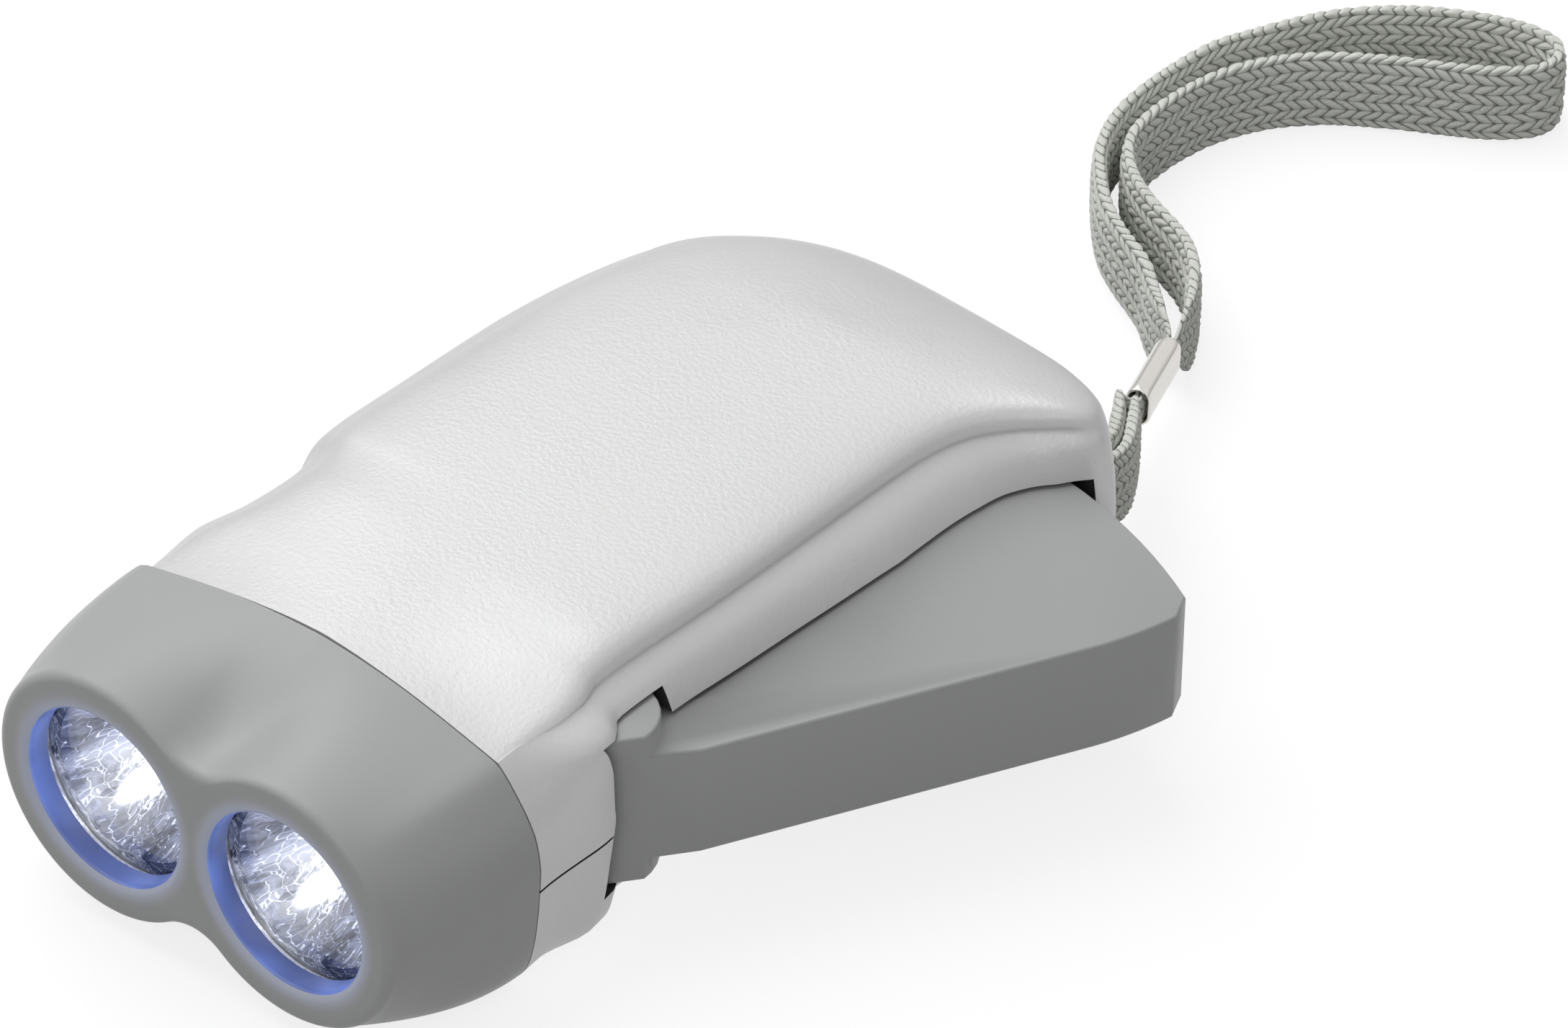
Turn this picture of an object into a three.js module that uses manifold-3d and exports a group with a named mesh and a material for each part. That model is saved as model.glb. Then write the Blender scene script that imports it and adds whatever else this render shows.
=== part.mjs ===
// Squeeze-lever dynamo torch: a twin-lamp head, a two-part housing, a grip lever that swings out of
// the side and turns a magnet rotor through a train of gears, and a braided wrist strap.
// Lengths are millimetres. Every piece is drawn from the middle of the lens face: X runs to the
// lever side, Y to the tail and Z up from the lever's mid height. The whole is then moved so that
// the middle of the base rests at zero.
import * as THREE from 'three';
import { mergeVertices } from 'three/addons/utils/BufferGeometryUtils.js';
import Module from 'manifold-3d';

const wasm = await Module();
wasm.setup();

// Driving dimensions of the housing.
const bodyLength = 105.8;
const headLength = 19.3;
const headProud = 1.3;
const creaseHalfWidth = 24;
const creaseHeight = 11.8;
const crownHeight = 15.8;
const baseDepth = 16;
const sideFlare = 4.65;
const shoulderPlace = 31;
const wallThickness = 1.8;
const seamGap = 0.3;
const partingHeight = -1.5;
const partingGap = 0.3;

// Fits and cutting allowances.
const clearance = 0.3;
const runningGap = 0.45;
const overrun = 1;
const farReach = 400;
const weldTolerance = 0.0001;
const edgeSlackShare = 1e-6;
const insetKeptShare = 0.97;

// Lamps and head.
const lampSpacing = 24.12;
const boreRadius = 10;
const lobeRadius = 14.2;
const waistHeight = 10.4;
const rimRound = 1;
const boreDepth = 2.9;
const lensThickness = 1.2;
const lensRim = 0.7;
const reflectorFlange = 1;
const reflectorLip = 0.7;
const reflectorDepth = 10.7;
const reflectorWall = 0.9;
const headBlockDepth = 6;
const ledRadius = 2.5;
const ledFlange = 0.5;
const ledBase = 1;
const ledLength = 6.3;

// Collar of the housing inside the head.
const collarLength = 2.5;
const collarWall = 1.2;
const collarRoot = 3;
const collarTaper = 0.3;

// Circuit board and what it carries.
const boardHalfWidth = 22.2;
const boardHalfHeight = 6.2;
const boardThickness = 1.4;
const rectifierSize = [7, 3.2, 5];
const rectifierPlaceShare = 0.62;
const capacitorRadius = 3.2;
const capacitorLength = 7.5;
const cellRadius = 5.8;
const cellLength = 16;
const cradleRib = 1.2;
const cradleHeight = 5;
const leadRadius = 0.5;
const leadStepsPerPoint = 1.5;

// Lever, as it lies when squeezed shut, measured from its pivot.
const pivotX = 23;
const pivotY = 34.5;
const leverOpenDegrees = 26.3;
const leverThickness = 13.1;
const leverWall = 1.8;
const leverSkin = 1.6;
const slotFromDegrees = 20;
const slotToDegrees = 115;
const leverEdgeRound = 0.3;
const tailBlock = 8.9;
const slotEndGap = 1.6;
const gripOffset = 6.4;
const gripBend = 8.2;
const facetOffset = 4.6;
const facetStart = 2;
const gripTaper = 12.4;
const tipOffset = 5.1;
const tipRoll = 2.2;
const leverInnerDegrees = 24.5;
const leverRibPlaces = [24, 41];
const leverRib = 1.2;
const ribDepthShare = 0.25;
const tipRoundDegrees = 2.5;
const pocketOverDegrees = 4;
const pocketTipDegrees = 1.8;
const barrelRadius = 6;
const barrelHeight = 18.3;
const pinRadius = 1.5;
const barrelSkin = 1;
const springPocketRadius = 4.4;
const springPocketDepth = 7.2;

// Return spring.
const springRadius = 3.6;
const springWire = 0.4;
const springPitch = 1.3;
const springTurns = 4.5;

// Gear train. Each gear's pitch radius is half its module times its teeth.
const sectorModule = 0.8;
const sectorTeeth = 60;
const firstPinionTeeth = 10;
const firstModule = 0.6;
const firstWheelTeeth = 36;
const secondPinionTeeth = 10;
const secondModule = 0.5;
const secondWheelTeeth = 34;
const rotorPinionTeeth = 10;
const centreSlack = 0.1;
const backlash = 0.16;
const addendumShare = 0.85;
const dedendumShare = 1.15;
const pressureDegrees = 20;
const firstBearing = 50;
const secondBearing = 52.6;
const rotorBearing = 5;
const coarseTeeth = 20;
const sectorHalfThickness = 1.5;
const sectorLeadTeeth = 1;
const sectorTrailTeeth = 6;
const firstPinionHalf = 2.2;
const wheelThickness = 2.2;
const firstWheelBottom = 3;
const secondWheelBottom = -5.6;
const axleRadius = 1;
const axleBossRadius = 2.4;
const axleBossTop = -6.2;

// Carrier plate over the gears.
const plateBottom = 7.4;
const plateThickness = 1.5;
const plateMargin = 3.2;
const postRadius = 2.2;
const postGap = 0.75;
const frontPostBearing = 144;
const rightPostBearing = -62;
const leftPostBearing = 138;
const plateScrewHead = [2, 1.3];
const plateScrewShank = [0.8, 7];

// Generator.
const magnetRadius = 6.5;
const magnetBottom = -2.2;
const magnetHeight = 6.6;
const flywheelRadius = 7.2;
const flywheelThickness = 1.6;
const rotorSleeve = 1.9;
const airGap = 0.6;
const poleThickness = 2.2;
const poleHalfDegrees = 50;
const coreBottom = -1.5;
const coreHeight = 4;
const yokeReach = 11.95;
const yokeWidth = 3;
const corePostRadius = 1.9;
const corePostReach = 6.35;
const bobbinWall = 0.8;
const bobbinFlange = 2.2;
const windingGap = 0.5;

// Housing screws: places as shares of the crease's half width and the body's length, then the
// radius and height of the head, and the shank.
const screwPlaceShares = [[-0.625, 0.246], [0.583, 0.246], [-0.54, 0.898], [0.5, 0.955]];
const screwHead = [2.6, 1.6];
const screwShank = 1.2;
const screwTop = 6;
const screwSink = 0.7;
const bossRadius = 2.8;
const bossFootRadius = 4.2;
const bossFootHeight = 3.7;

// Strap eyelet in the tail, ferrule and braid.
const strapPinX = 25.5;
const strapInset = 4.4;
const strapHeight = -3;
const strapPinRadius = 1.5;
const strapBossRadius = 2.6;
const eyeletHalfWidth = 5;
const eyeletHalfHeight = 5.3;
const eyeletRound = 1.5;
const braidWidth = 9;
const braidThickness = 1.5;
const pinchedWidth = 3.4;
const pinchedThickness = 0.6;
const pinchedSpacing = 0.85;
const pinchLength = 14;
const pinchRun = 1;
const ferruleAside = 9.55;
const ferruleBehind = 29.5;
const ferruleZ = -9;
const ferruleDegrees = 109.4;
const ferruleLength = 10;
const ferruleWall = 0.35;
const braidStepShare = 2.6;

// Plan outline of the crease, from the left front round the tail to the right front: the share of
// the crease's half width, then the share of the body's length.
const frontHalfShare = 0.992;
const outlineShares = [
  [-0.98, 0.26], [-0.95, 0.295], [-0.924, 0.325], [-0.914, 0.372], [-0.922, 0.402], [-0.95, 0.424],
  [-0.992, 0.442], [-1.008, 0.462], [-1.012, 0.5], [-0.997, 0.58], [-0.978, 0.67], [-0.95, 0.755],
  [-0.9, 0.825], [-0.845, 0.877], [-0.755, 0.914], [-0.61, 0.946], [-0.43, 0.973], [-0.2, 0.992],
  [0.09, 1], [0.54, 0.998], [0.95, 0.991], [1.15, 0.982], [1.3, 0.968], [1.375, 0.948],
  [1.36, 0.928], [1.26, 0.905], [1.13, 0.873], [1.035, 0.835], [0.99, 0.785], [0.979, 0.7],
  [0.976, 0.6], [0.968, 0.48], [0.948, 0.37], [0.952, 0.31], [0.97, 0.25],
];
const outlineStepsPerPoint = 1;

// Side wall from the parting line up to the crease and down to the base: the share of that height,
// then the share of the flare there, at the head and behind the shoulder where the wall stays full.
const upperLevelShares = [
  [0, 1, 1], [0.18, 0.99, 1], [0.41, 0.88, 0.92], [0.6, 0.65, 0.76], [0.78, 0.33, 0.55],
  [0.9, 0.09, 0.33], [1, -0.16, 0],
];
const lowerLevelShares = [
  [0.34, 0.92, 0.9], [0.58, 0.8, 0.74], [0.76, 0.62, 0.53], [0.89, 0.32, 0.22], [0.96, 0, -0.1],
  [1, -0.47, -0.55],
];

// Crown from the crease to the middle: the share of the way in, then the share of the rise, at the
// head and behind the shoulder where it steps up from the crease.
const crownShares = [
  [0.03, 0.05, 0.2], [0.08, 0.12, 0.38], [0.17, 0.25, 0.56], [0.35, 0.48, 0.76], [0.65, 0.78, 0.93],
  [0.93, 1, 1],
];

// Where the crown is highest: the share of the body's length, then the share of the half width.
const spineShares = [[0.55, 0], [0.7, 0.04], [0.78, 0.1], [0.84, 0.18]];

// How the flare grows and fades along the body: the share of the length, then the gain from the
// crease to the parting line, then the gain at the base. The tail end keeps a share of it.
const flareGainShares = [
  [0, 1, 1], [0.2, 1.02, 1], [0.27, 1.15, 1], [0.33, 1.13, 0.8], [0.42, 1.05, 0.85], [0.55, 1.15, 1.1],
  [0.7, 1.35, 1.35], [0.82, 1.25, 1.25], [0.9, 0.95, 0.9], [0.94, 0.5, 0.4], [0.97, 0.32, 0.1],
  [1, 0.3, 0],
];
const tailFlareShare = 0.35;

// Length of the head where its sections are drawn, and how round it is towards the front. Its left
// flank stands proud of the housing, which is drawn in there for the fingers.
const headStationShares = [0.16, 0.34, 0.52, 0.7, 0.86, 1];
const headFullness = 1.9;
const headSides = 40;
const headCavitySides = 24;

// Routes of the two lengths of braid, measured in plan from the strap pin: X, Y and height.
const anchorRoute = [
  [-6.6, 22.8, -8.5], [-2.3, 16.9, -6.9], [2, 9.9, -4.9], [3.1, 4.4, -3.4], [2.4, 0, -3],
  [1.7, -2, -3], [0, -2.8, -3], [-1.9, -2, -3], [-2.8, 0, -3], [-1.4, 4.4, -3.4],
  [-0.4, 9.9, -5], [-4.3, 16.9, -7], [-8.5, 22.8, -8.6],
];
const strapRoute = [
  [-14.9, 37.5, -10.6], [-18.3, 40.5, -11.4], [-21.7, 43.2, -11.4], [-24.4, 44.9, -11.4],
  [-27.9, 46.7, -11.4], [-32.1, 49.4, -11.4], [-35.7, 52.8, -11.4], [-38.9, 56.7, -11.4],
  [-41.1, 61.4, -11.4], [-42.1, 66.6, -11.4], [-42.2, 73.1, -11.4], [-41.4, 80, -11.4],
  [-39.6, 84.5, -11.4], [-37.6, 88.9, -11.4], [-35.3, 93, -11.4], [-32.4, 96.5, -11.4],
  [-29.1, 99.6, -11.4], [-25.3, 102.1, -11.4], [-21.3, 104, -11.4], [-17.1, 105.2, -11.4],
  [-13.6, 104.9, -11.4], [-11.8, 102.7, -11.4], [-12.2, 99.8, -11.4], [-14.7, 97, -11.4],
  [-18.1, 94.6, -11.4], [-23.5, 91.4, -11.4], [-29.4, 87.5, -11.4], [-33.5, 83.6, -11.4],
  [-36.4, 79, -11.4], [-38, 74.4, -11.4], [-38.7, 69.2, -11.4], [-38.6, 64.5, -11.4],
  [-37.7, 60.6, -11.4], [-35.5, 57.4, -11.4], [-32.1, 54.6, -11.4], [-28, 52.5, -11.4],
  [-24.3, 51.1, -11.4], [-20.9, 49.3, -11.4], [-17.9, 46.6, -11.4], [-15.3, 43.4, -11.3],
  [-13.1, 40, -10.7],
];

// Coil leads: from the winding, measured from the middle of the yoke's front face; then along the
// wall as shares of the crease's half width, the body's length and the base's depth; then to the
// board, measured from its back.
const coilLeadStart = [[-3.5, 6.7, -2], [-6.5, 7.4, -4]];
const coilLeadShares = [
  [-0.846, 0.822, -0.375], [-0.954, 0.737, -0.4375], [-0.992, 0.624, -0.4375],
  [-0.987, 0.491, -0.4375], [-0.937, 0.388, -0.4375], [-0.929, 0.303, -0.4],
];
const coilLeadEnd = [[-21.2, 5.8, -4.6], [-20.3, 2.8, -3.4], [-20, 0.1, -3]];

// Cell leads from the middle of a cell's end to the board: the share of the way there, the share of
// the distance out from the cell's end and the share of the rise.
const cellLeadOut = 0.9;
const cellLeadRiseShare = 0.45;
const cellLeadShares = [
  [0, 0.4, 0], [0.12, 1, 0.06], [0.45, 0.9, 0.4], [0.8, 0.3, 0.85], [1, 0.15, 1],
];
const coilLeadSpacing = 1.6;

// Materials, coloured as the photographed object is.
const silverPlastic = new THREE.MeshStandardMaterial({ color: 0xd2d3d2, roughness: 0.42, metalness: 0 });
const greyPlastic = new THREE.MeshStandardMaterial({ color: 0x8f908d, roughness: 0.55, metalness: 0 });
const clearPlastic = new THREE.MeshStandardMaterial({ color: 0xe8f0ff, roughness: 0.05, metalness: 0 });
const chrome = new THREE.MeshStandardMaterial({ color: 0xdfe3ea, roughness: 0.08, metalness: 1 });
const ledEpoxy = new THREE.MeshStandardMaterial({ color: 0xf4f8ff, roughness: 0.1, metalness: 0 });
const boardGreen = new THREE.MeshStandardMaterial({ color: 0x2f6b45, roughness: 0.6, metalness: 0 });
const blackPlastic = new THREE.MeshStandardMaterial({ color: 0x25262a, roughness: 0.5, metalness: 0 });
const whiteNylon = new THREE.MeshStandardMaterial({ color: 0xe9e7df, roughness: 0.5, metalness: 0 });
const steel = new THREE.MeshStandardMaterial({ color: 0xb9bcc0, roughness: 0.3, metalness: 1 });
const darkFerrite = new THREE.MeshStandardMaterial({ color: 0x3a3a3d, roughness: 0.6, metalness: 0.2 });
const copper = new THREE.MeshStandardMaterial({ color: 0xb56a3a, roughness: 0.35, metalness: 1 });
const sageBraid = new THREE.MeshStandardMaterial({ color: 0xb4bab0, roughness: 0.95, metalness: 0 });
const leadRed = new THREE.MeshStandardMaterial({ color: 0xa33a32, roughness: 0.6, metalness: 0 });

// Geometry tools.

function makeManifold(positions, corners) {
  return new wasm.Manifold(new wasm.Mesh({
    numProp: 3,
    vertProperties: new Float32Array(positions),
    triVerts: new Uint32Array(corners),
  }));
}

// A closed geometry as a solid whose faces point out.
function solidFrom(geometry) {
  const bare = geometry.clone();
  bare.deleteAttribute('normal');
  bare.deleteAttribute('uv');
  const merged = mergeVertices(bare, weldTolerance);
  const index = merged.index.array;
  const corners = [];
  const turned = [];
  for (let i = 0; i < index.length; i += 3) {
    const [a, b, c] = [index[i], index[i + 1], index[i + 2]];
    if (a !== b && b !== c && c !== a) {
      corners.push(a, b, c);
      turned.push(a, c, b);
    }
  }
  const positions = merged.attributes.position.array;
  const solid = makeManifold(positions, corners);
  return solid.volume() < 0 ? makeManifold(positions, turned) : solid;
}

function geometryFrom(solid) {
  const mesh = solid.getMesh();
  const geometry = new THREE.BufferGeometry();
  geometry.setAttribute('position', new THREE.BufferAttribute(mesh.vertProperties, 3));
  geometry.setIndex(new THREE.BufferAttribute(mesh.triVerts, 1));
  geometry.computeVertexNormals();
  return geometry;
}

function joined(...solids) {
  return solids.reduce((whole, next) => whole.add(next));
}

function without(solid, ...cutters) {
  return cutters.reduce((rest, cutter) => rest.subtract(cutter), solid);
}

function box([x0, x1], [y0, y1], [z0, z1]) {
  const geometry = new THREE.BoxGeometry(x1 - x0, y1 - y0, z1 - z0);
  return solidFrom(geometry.translate((x0 + x1) / 2, (y0 + y1) / 2, (z0 + z1) / 2));
}

// A round bar standing on the plan point, from z0 up to z1.
function post([x, y], radius, z0, z1, sides = 12) {
  const geometry = new THREE.CylinderGeometry(radius, radius, z1 - z0, sides);
  return solidFrom(geometry.rotateX(Math.PI / 2).translate(x, y, (z0 + z1) / 2));
}

function extruded(shape, z0, z1, round = 0, curveSegments = 12) {
  const geometry = new THREE.ExtrudeGeometry(shape, {
    depth: z1 - z0 - 2 * round,
    bevelEnabled: round > 0,
    bevelThickness: round,
    bevelSize: round,
    bevelOffset: -round,
    bevelSegments: 2,
    curveSegments,
  });
  return solidFrom(geometry.translate(0, 0, z0 + round));
}

// A profile of [radius, y] points turned about a line along Y through x.
function turnedAlongY(profile, x, sides = 32) {
  const points = profile.map(([radius, y]) => new THREE.Vector2(radius, y));
  return solidFrom(new THREE.LatheGeometry(points, sides).translate(x, 0, 0));
}

// A closed surface through rings of equally many points, with a flat cap on each end. The caps are
// cut into triangles in the plane of the two named axes.
function loft(rings, axes) {
  const sides = rings[0].length;
  const positions = rings.flatMap((ring) => ring.flatMap((point) => [point.x, point.y, point.z]));
  const index = [];
  for (let r = 0; r + 1 < rings.length; r += 1) {
    for (let i = 0; i < sides; i += 1) {
      const next = (i + 1) % sides;
      const [a, b] = [r * sides + i, r * sides + next];
      const [c, d] = [a + sides, b + sides];
      index.push(a, b, d, a, d, c);
    }
  }
  const capOf = (ring) => THREE.ShapeUtils.triangulateShape(
    ring.map((point) => new THREE.Vector2(point[axes[0]], point[axes[1]])), [],
  );
  const last = (rings.length - 1) * sides;
  const windingOf = (ring) => Math.sign(THREE.ShapeUtils.area(
    ring.map((point) => new THREE.Vector2(point[axes[0]], point[axes[1]])),
  ));
  const sameWay = windingOf(rings[0]) > 0;
  for (const [a, b, c] of capOf(rings[0])) {
    index.push(...(sameWay ? [a, c, b] : [a, b, c]));
  }
  for (const [a, b, c] of capOf(rings[rings.length - 1])) {
    index.push(...(sameWay ? [last + a, last + b, last + c] : [last + a, last + c, last + b]));
  }
  const geometry = new THREE.BufferGeometry();
  geometry.setAttribute('position', new THREE.Float32BufferAttribute(positions, 3));
  geometry.setIndex(index);
  return solidFrom(geometry);
}

function polar(radius, degrees, [x, y] = [0, 0]) {
  const angle = THREE.MathUtils.degToRad(degrees);
  return [x + radius * Math.cos(angle), y + radius * Math.sin(angle)];
}

// The point at a distance and a bearing, counted in degrees from the tail direction to the left.
function bearingFrom(place, distance, degrees) {
  return polar(distance, 90 + degrees, place);
}

function polygon(points) {
  return new THREE.Shape(points.map(([x, y]) => new THREE.Vector2(x, y)));
}

function arcPoints(radius, fromDegrees, toDegrees, steps, centre) {
  return Array.from({ length: steps + 1 }, (_, i) => (
    polar(radius, THREE.MathUtils.lerp(fromDegrees, toDegrees, i / steps), centre)
  ));
}

// The outline of a belt round equal circles whose centres turn anticlockwise.
function beltShape(centres, radius, steps = 5) {
  const points = centres.flatMap((centre, i) => {
    const before = centres[(i + centres.length - 1) % centres.length];
    const after = centres[(i + 1) % centres.length];
    const headingOf = (a, b) => THREE.MathUtils.radToDeg(Math.atan2(b[1] - a[1], b[0] - a[0]));
    const start = headingOf(before, centre) - 90;
    const turn = (headingOf(centre, after) - 90 - start + 720) % 360;
    return arcPoints(radius, start, start + turn, steps, centre);
  });
  return polygon(points);
}

function roundedBox(halfWidth, halfHeight, round, steps = 2) {
  const centres = [[-1, -1], [1, -1], [1, 1], [-1, 1]].map(([x, y]) => (
    [x * (halfWidth - round), y * (halfHeight - round)]
  ));
  return beltShape(centres, round, steps);
}

// The value at t on a line through rows of t and one or more values.
function valueAt(table, t, column = 1) {
  const next = table.findIndex(([place]) => place >= t);
  if (next <= 0) {
    return table[next < 0 ? table.length - 1 : 0][column];
  }
  const [low, high] = [table[next - 1], table[next]];
  return THREE.MathUtils.lerp(low[column], high[column], (t - low[0]) / (high[0] - low[0]));
}

const torch = new THREE.Group();
torch.position.set(0, -bodyLength / 2, baseDepth);

function addPiece(name, solid, material, parent = torch) {
  const mesh = new THREE.Mesh(geometryFrom(solid), material);
  mesh.name = name;
  parent.add(mesh);
}

// Housing form.

// The crease's outline in plan, open across the front, set in by a wall.
function creaseOutline(front, inset = 0) {
  const frontHalf = frontHalfShare * creaseHalfWidth;
  const points = [
    new THREE.Vector2(-frontHalf, front),
    ...outlineShares.map(([x, y]) => new THREE.Vector2(x * creaseHalfWidth, y * bodyLength)),
    new THREE.Vector2(frontHalf, front),
  ];
  const outline = new THREE.SplineCurve(points).getPoints((points.length - 1) * outlineStepsPerPoint);
  if (inset === 0) {
    return outline;
  }
  const normals = normalsOf(outline);
  const distanceTo = (point) => Math.min(...outline.slice(1).map((end, i) => {
    const segment = new THREE.Line3(
      new THREE.Vector3(outline[i].x, outline[i].y, 0), new THREE.Vector3(end.x, end.y, 0),
    );
    const place = new THREE.Vector3(point.x, point.y, 0);
    return segment.closestPointToPoint(place, true, new THREE.Vector3()).distanceTo(place);
  }));
  return outline
    .map((point, i) => point.clone().addScaledVector(normals[i], -inset))
    .filter((point) => distanceTo(point) > inset * insetKeptShare);
}

function normalsOf(outline) {
  return outline.map((_, i) => {
    if (i === 0 || i === outline.length - 1) {
      return new THREE.Vector2(i === 0 ? -1 : 1, 0);
    }
    const along = outline[i + 1].clone().sub(outline[i - 1]).normalize();
    return new THREE.Vector2(-along.y, along.x);
  });
}

// Level rings of the housing from the base to the crown, set in by a wall.
function housingRings(front, inset = 0, skip = 1) {
  const outline = creaseOutline(front, inset);
  const normals = normalsOf(outline);
  const upShare = (crownHeight - inset) / crownHeight;
  const downShare = (baseDepth - inset) / baseDepth;
  const behindShoulder = (y) => THREE.MathUtils.smoothstep(y, headLength, shoulderPlace);
  const flaredRing = (z, [height, atHead, atBody = atHead]) => outline.map((point, i) => {
    const share = THREE.MathUtils.lerp(atHead, atBody, behindShoulder(point.y));
    const [high, low] = [1, 2].map((column) => valueAt(flareGainShares, point.y / bodyLength, column));
    const flare = share * sideFlare * THREE.MathUtils.lerp(high, low, z < 0 ? height : 0);
    const atFront = i === 0 || i === outline.length - 1;
    const y = atFront ? front : point.y + normals[i].y * flare * tailFlareShare;
    return new THREE.Vector3(point.x + normals[i].x * flare, y, z);
  });
  const lower = lowerLevelShares.filter((_, i) => (lowerLevelShares.length - 1 - i) % skip === 0);
  const upper = upperLevelShares.filter((_, i) => i % skip === 0);
  const spineEnd = spineShares[spineShares.length - 1][0] * bodyLength;
  const risen = crownShares.filter((_, i) => (crownShares.length - 1 - i) % skip === 0);
  const crown = risen.map(([inward, atHead, atBody]) => outline.map((point) => {
    const rise = THREE.MathUtils.lerp(atHead, atBody, behindShoulder(point.y));
    return new THREE.Vector3(
      THREE.MathUtils.lerp(point.x, valueAt(spineShares, point.y / bodyLength) * creaseHalfWidth, inward),
      THREE.MathUtils.lerp(point.y, Math.min(point.y, spineEnd), inward),
      (creaseHeight + rise * (crownHeight - creaseHeight)) * upShare,
    );
  }));
  return [
    ...lower.reverse().map((level) => flaredRing(-level[0] * baseDepth * downShare, level)),
    ...upper.map((level) => flaredRing(level[0] * creaseHeight * upShare, level)),
    ...crown,
  ];
}

function housingSolid(front, inset, skip) {
  return loft(housingRings(front, inset, skip), ['x', 'y']);
}

const housingFront = headLength + seamGap;
const housingOuter = housingSolid(housingFront);
const pivotPlace = [pivotX, pivotY];
const floorTop = wallThickness - baseDepth;
const slotHalf = leverThickness / 2 + runningGap;
const recessHalf = barrelHeight / 2 + runningGap;
const recessRadius = barrelRadius + 2 * clearance;
const leverReach = bodyLength - pivotY - tailBlock;
const slotReach = leverReach + slotEndGap;

// Lever slot: a wedge about the pivot, with the round recess for the taller barrel.
const leverSlot = joined(
  extruded(polygon([
    pivotPlace, ...arcPoints(slotReach, slotFromDegrees, slotToDegrees, 16, pivotPlace),
  ]), -slotHalf, slotHalf),
  post(pivotPlace, recessRadius, -recessHalf, recessHalf, 32),
  box([pivotX, farReach], [pivotY, pivotY + recessRadius], [-recessHalf, recessHalf]),
);

// Gear places, worked out from the pivot and the pitch radii.
const pitchRadius = (module, teeth) => module * teeth / 2;
const sectorRadius = pitchRadius(sectorModule, sectorTeeth);
const meshDistance = (module, a, b) => pitchRadius(module, a + b) + centreSlack;
const firstPlace = bearingFrom(
  pivotPlace, meshDistance(sectorModule, sectorTeeth, firstPinionTeeth), firstBearing,
);
const secondPlace = bearingFrom(
  firstPlace, meshDistance(firstModule, firstWheelTeeth, secondPinionTeeth), secondBearing,
);
const rotorPlace = bearingFrom(
  secondPlace, meshDistance(secondModule, secondWheelTeeth, rotorPinionTeeth), rotorBearing,
);
const axlePlaces = [firstPlace, secondPlace, rotorPlace];
const inPlan = ([x, y]) => [x * creaseHalfWidth, y * bodyLength];
const screwPlaces = screwPlaceShares.map(inPlan);
const tipRadius = (module, teeth) => pitchRadius(module, teeth) + addendumShare * module;
const beside = (place, wheelRadius, degrees) => (
  bearingFrom(place, wheelRadius + postGap + postRadius, degrees)
);
const postPlaces = [
  beside(firstPlace, tipRadius(firstModule, firstWheelTeeth), frontPostBearing),
  beside(secondPlace, tipRadius(secondModule, secondWheelTeeth), rightPostBearing),
  beside(secondPlace, tipRadius(secondModule, secondWheelTeeth), leftPostBearing),
];
const axleHole = axleRadius + clearance;
const poleInner = magnetRadius + airGap;
const poleOuter = poleInner + poleThickness;
const yokeStart = rotorPlace[1] + yokeReach;
const corePosts = [-1, 1].map((side) => (
  [rotorPlace[0] + side * (poleInner + poleOuter) / 2, rotorPlace[1] + corePostReach]
));
const cellHeight = floorTop + clearance + cellRadius;
const pivotPinTop = barrelHeight / 2 - barrelSkin - clearance;
const strapPinTop = creaseHeight - wallThickness;
const strapPlace = [strapPinX, bodyLength - strapInset];

function strapEyelet() {
  const opening = roundedBox(eyeletHalfWidth, eyeletHalfHeight, eyeletRound);
  const geometry = new THREE.ExtrudeGeometry(opening, { depth: farReach, bevelEnabled: false });
  const [x, y] = strapPlace;
  return solidFrom(geometry.rotateX(-Math.PI / 2).translate(x, y - clearance, strapHeight));
}

// Both halves start as one hollow housing with the collar that carries the head.
function hollowHousing() {
  const collarInset = wallThickness + clearance + collarTaper;
  const collarFront = headLength - collarLength;
  const collar = housingSolid(collarFront, collarInset, 2)
    .intersect(box([-farReach, farReach], [0, housingFront + overrun], [-farReach, farReach]));
  const cavity = housingSolid(housingFront + collarRoot, wallThickness, 2);
  const throat = housingSolid(collarFront - overrun, collarInset + collarWall, 2);
  const hollow = without(joined(housingOuter, collar), cavity, throat);
  const pads = joined(
    post(pivotPlace, recessRadius + wallThickness, recessHalf, farReach, 32),
    post(pivotPlace, recessRadius + wallThickness, -farReach, -recessHalf, 32),
  );
  return without(joined(hollow, housingOuter.intersect(pads)), leverSlot, strapEyelet());
}

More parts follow.
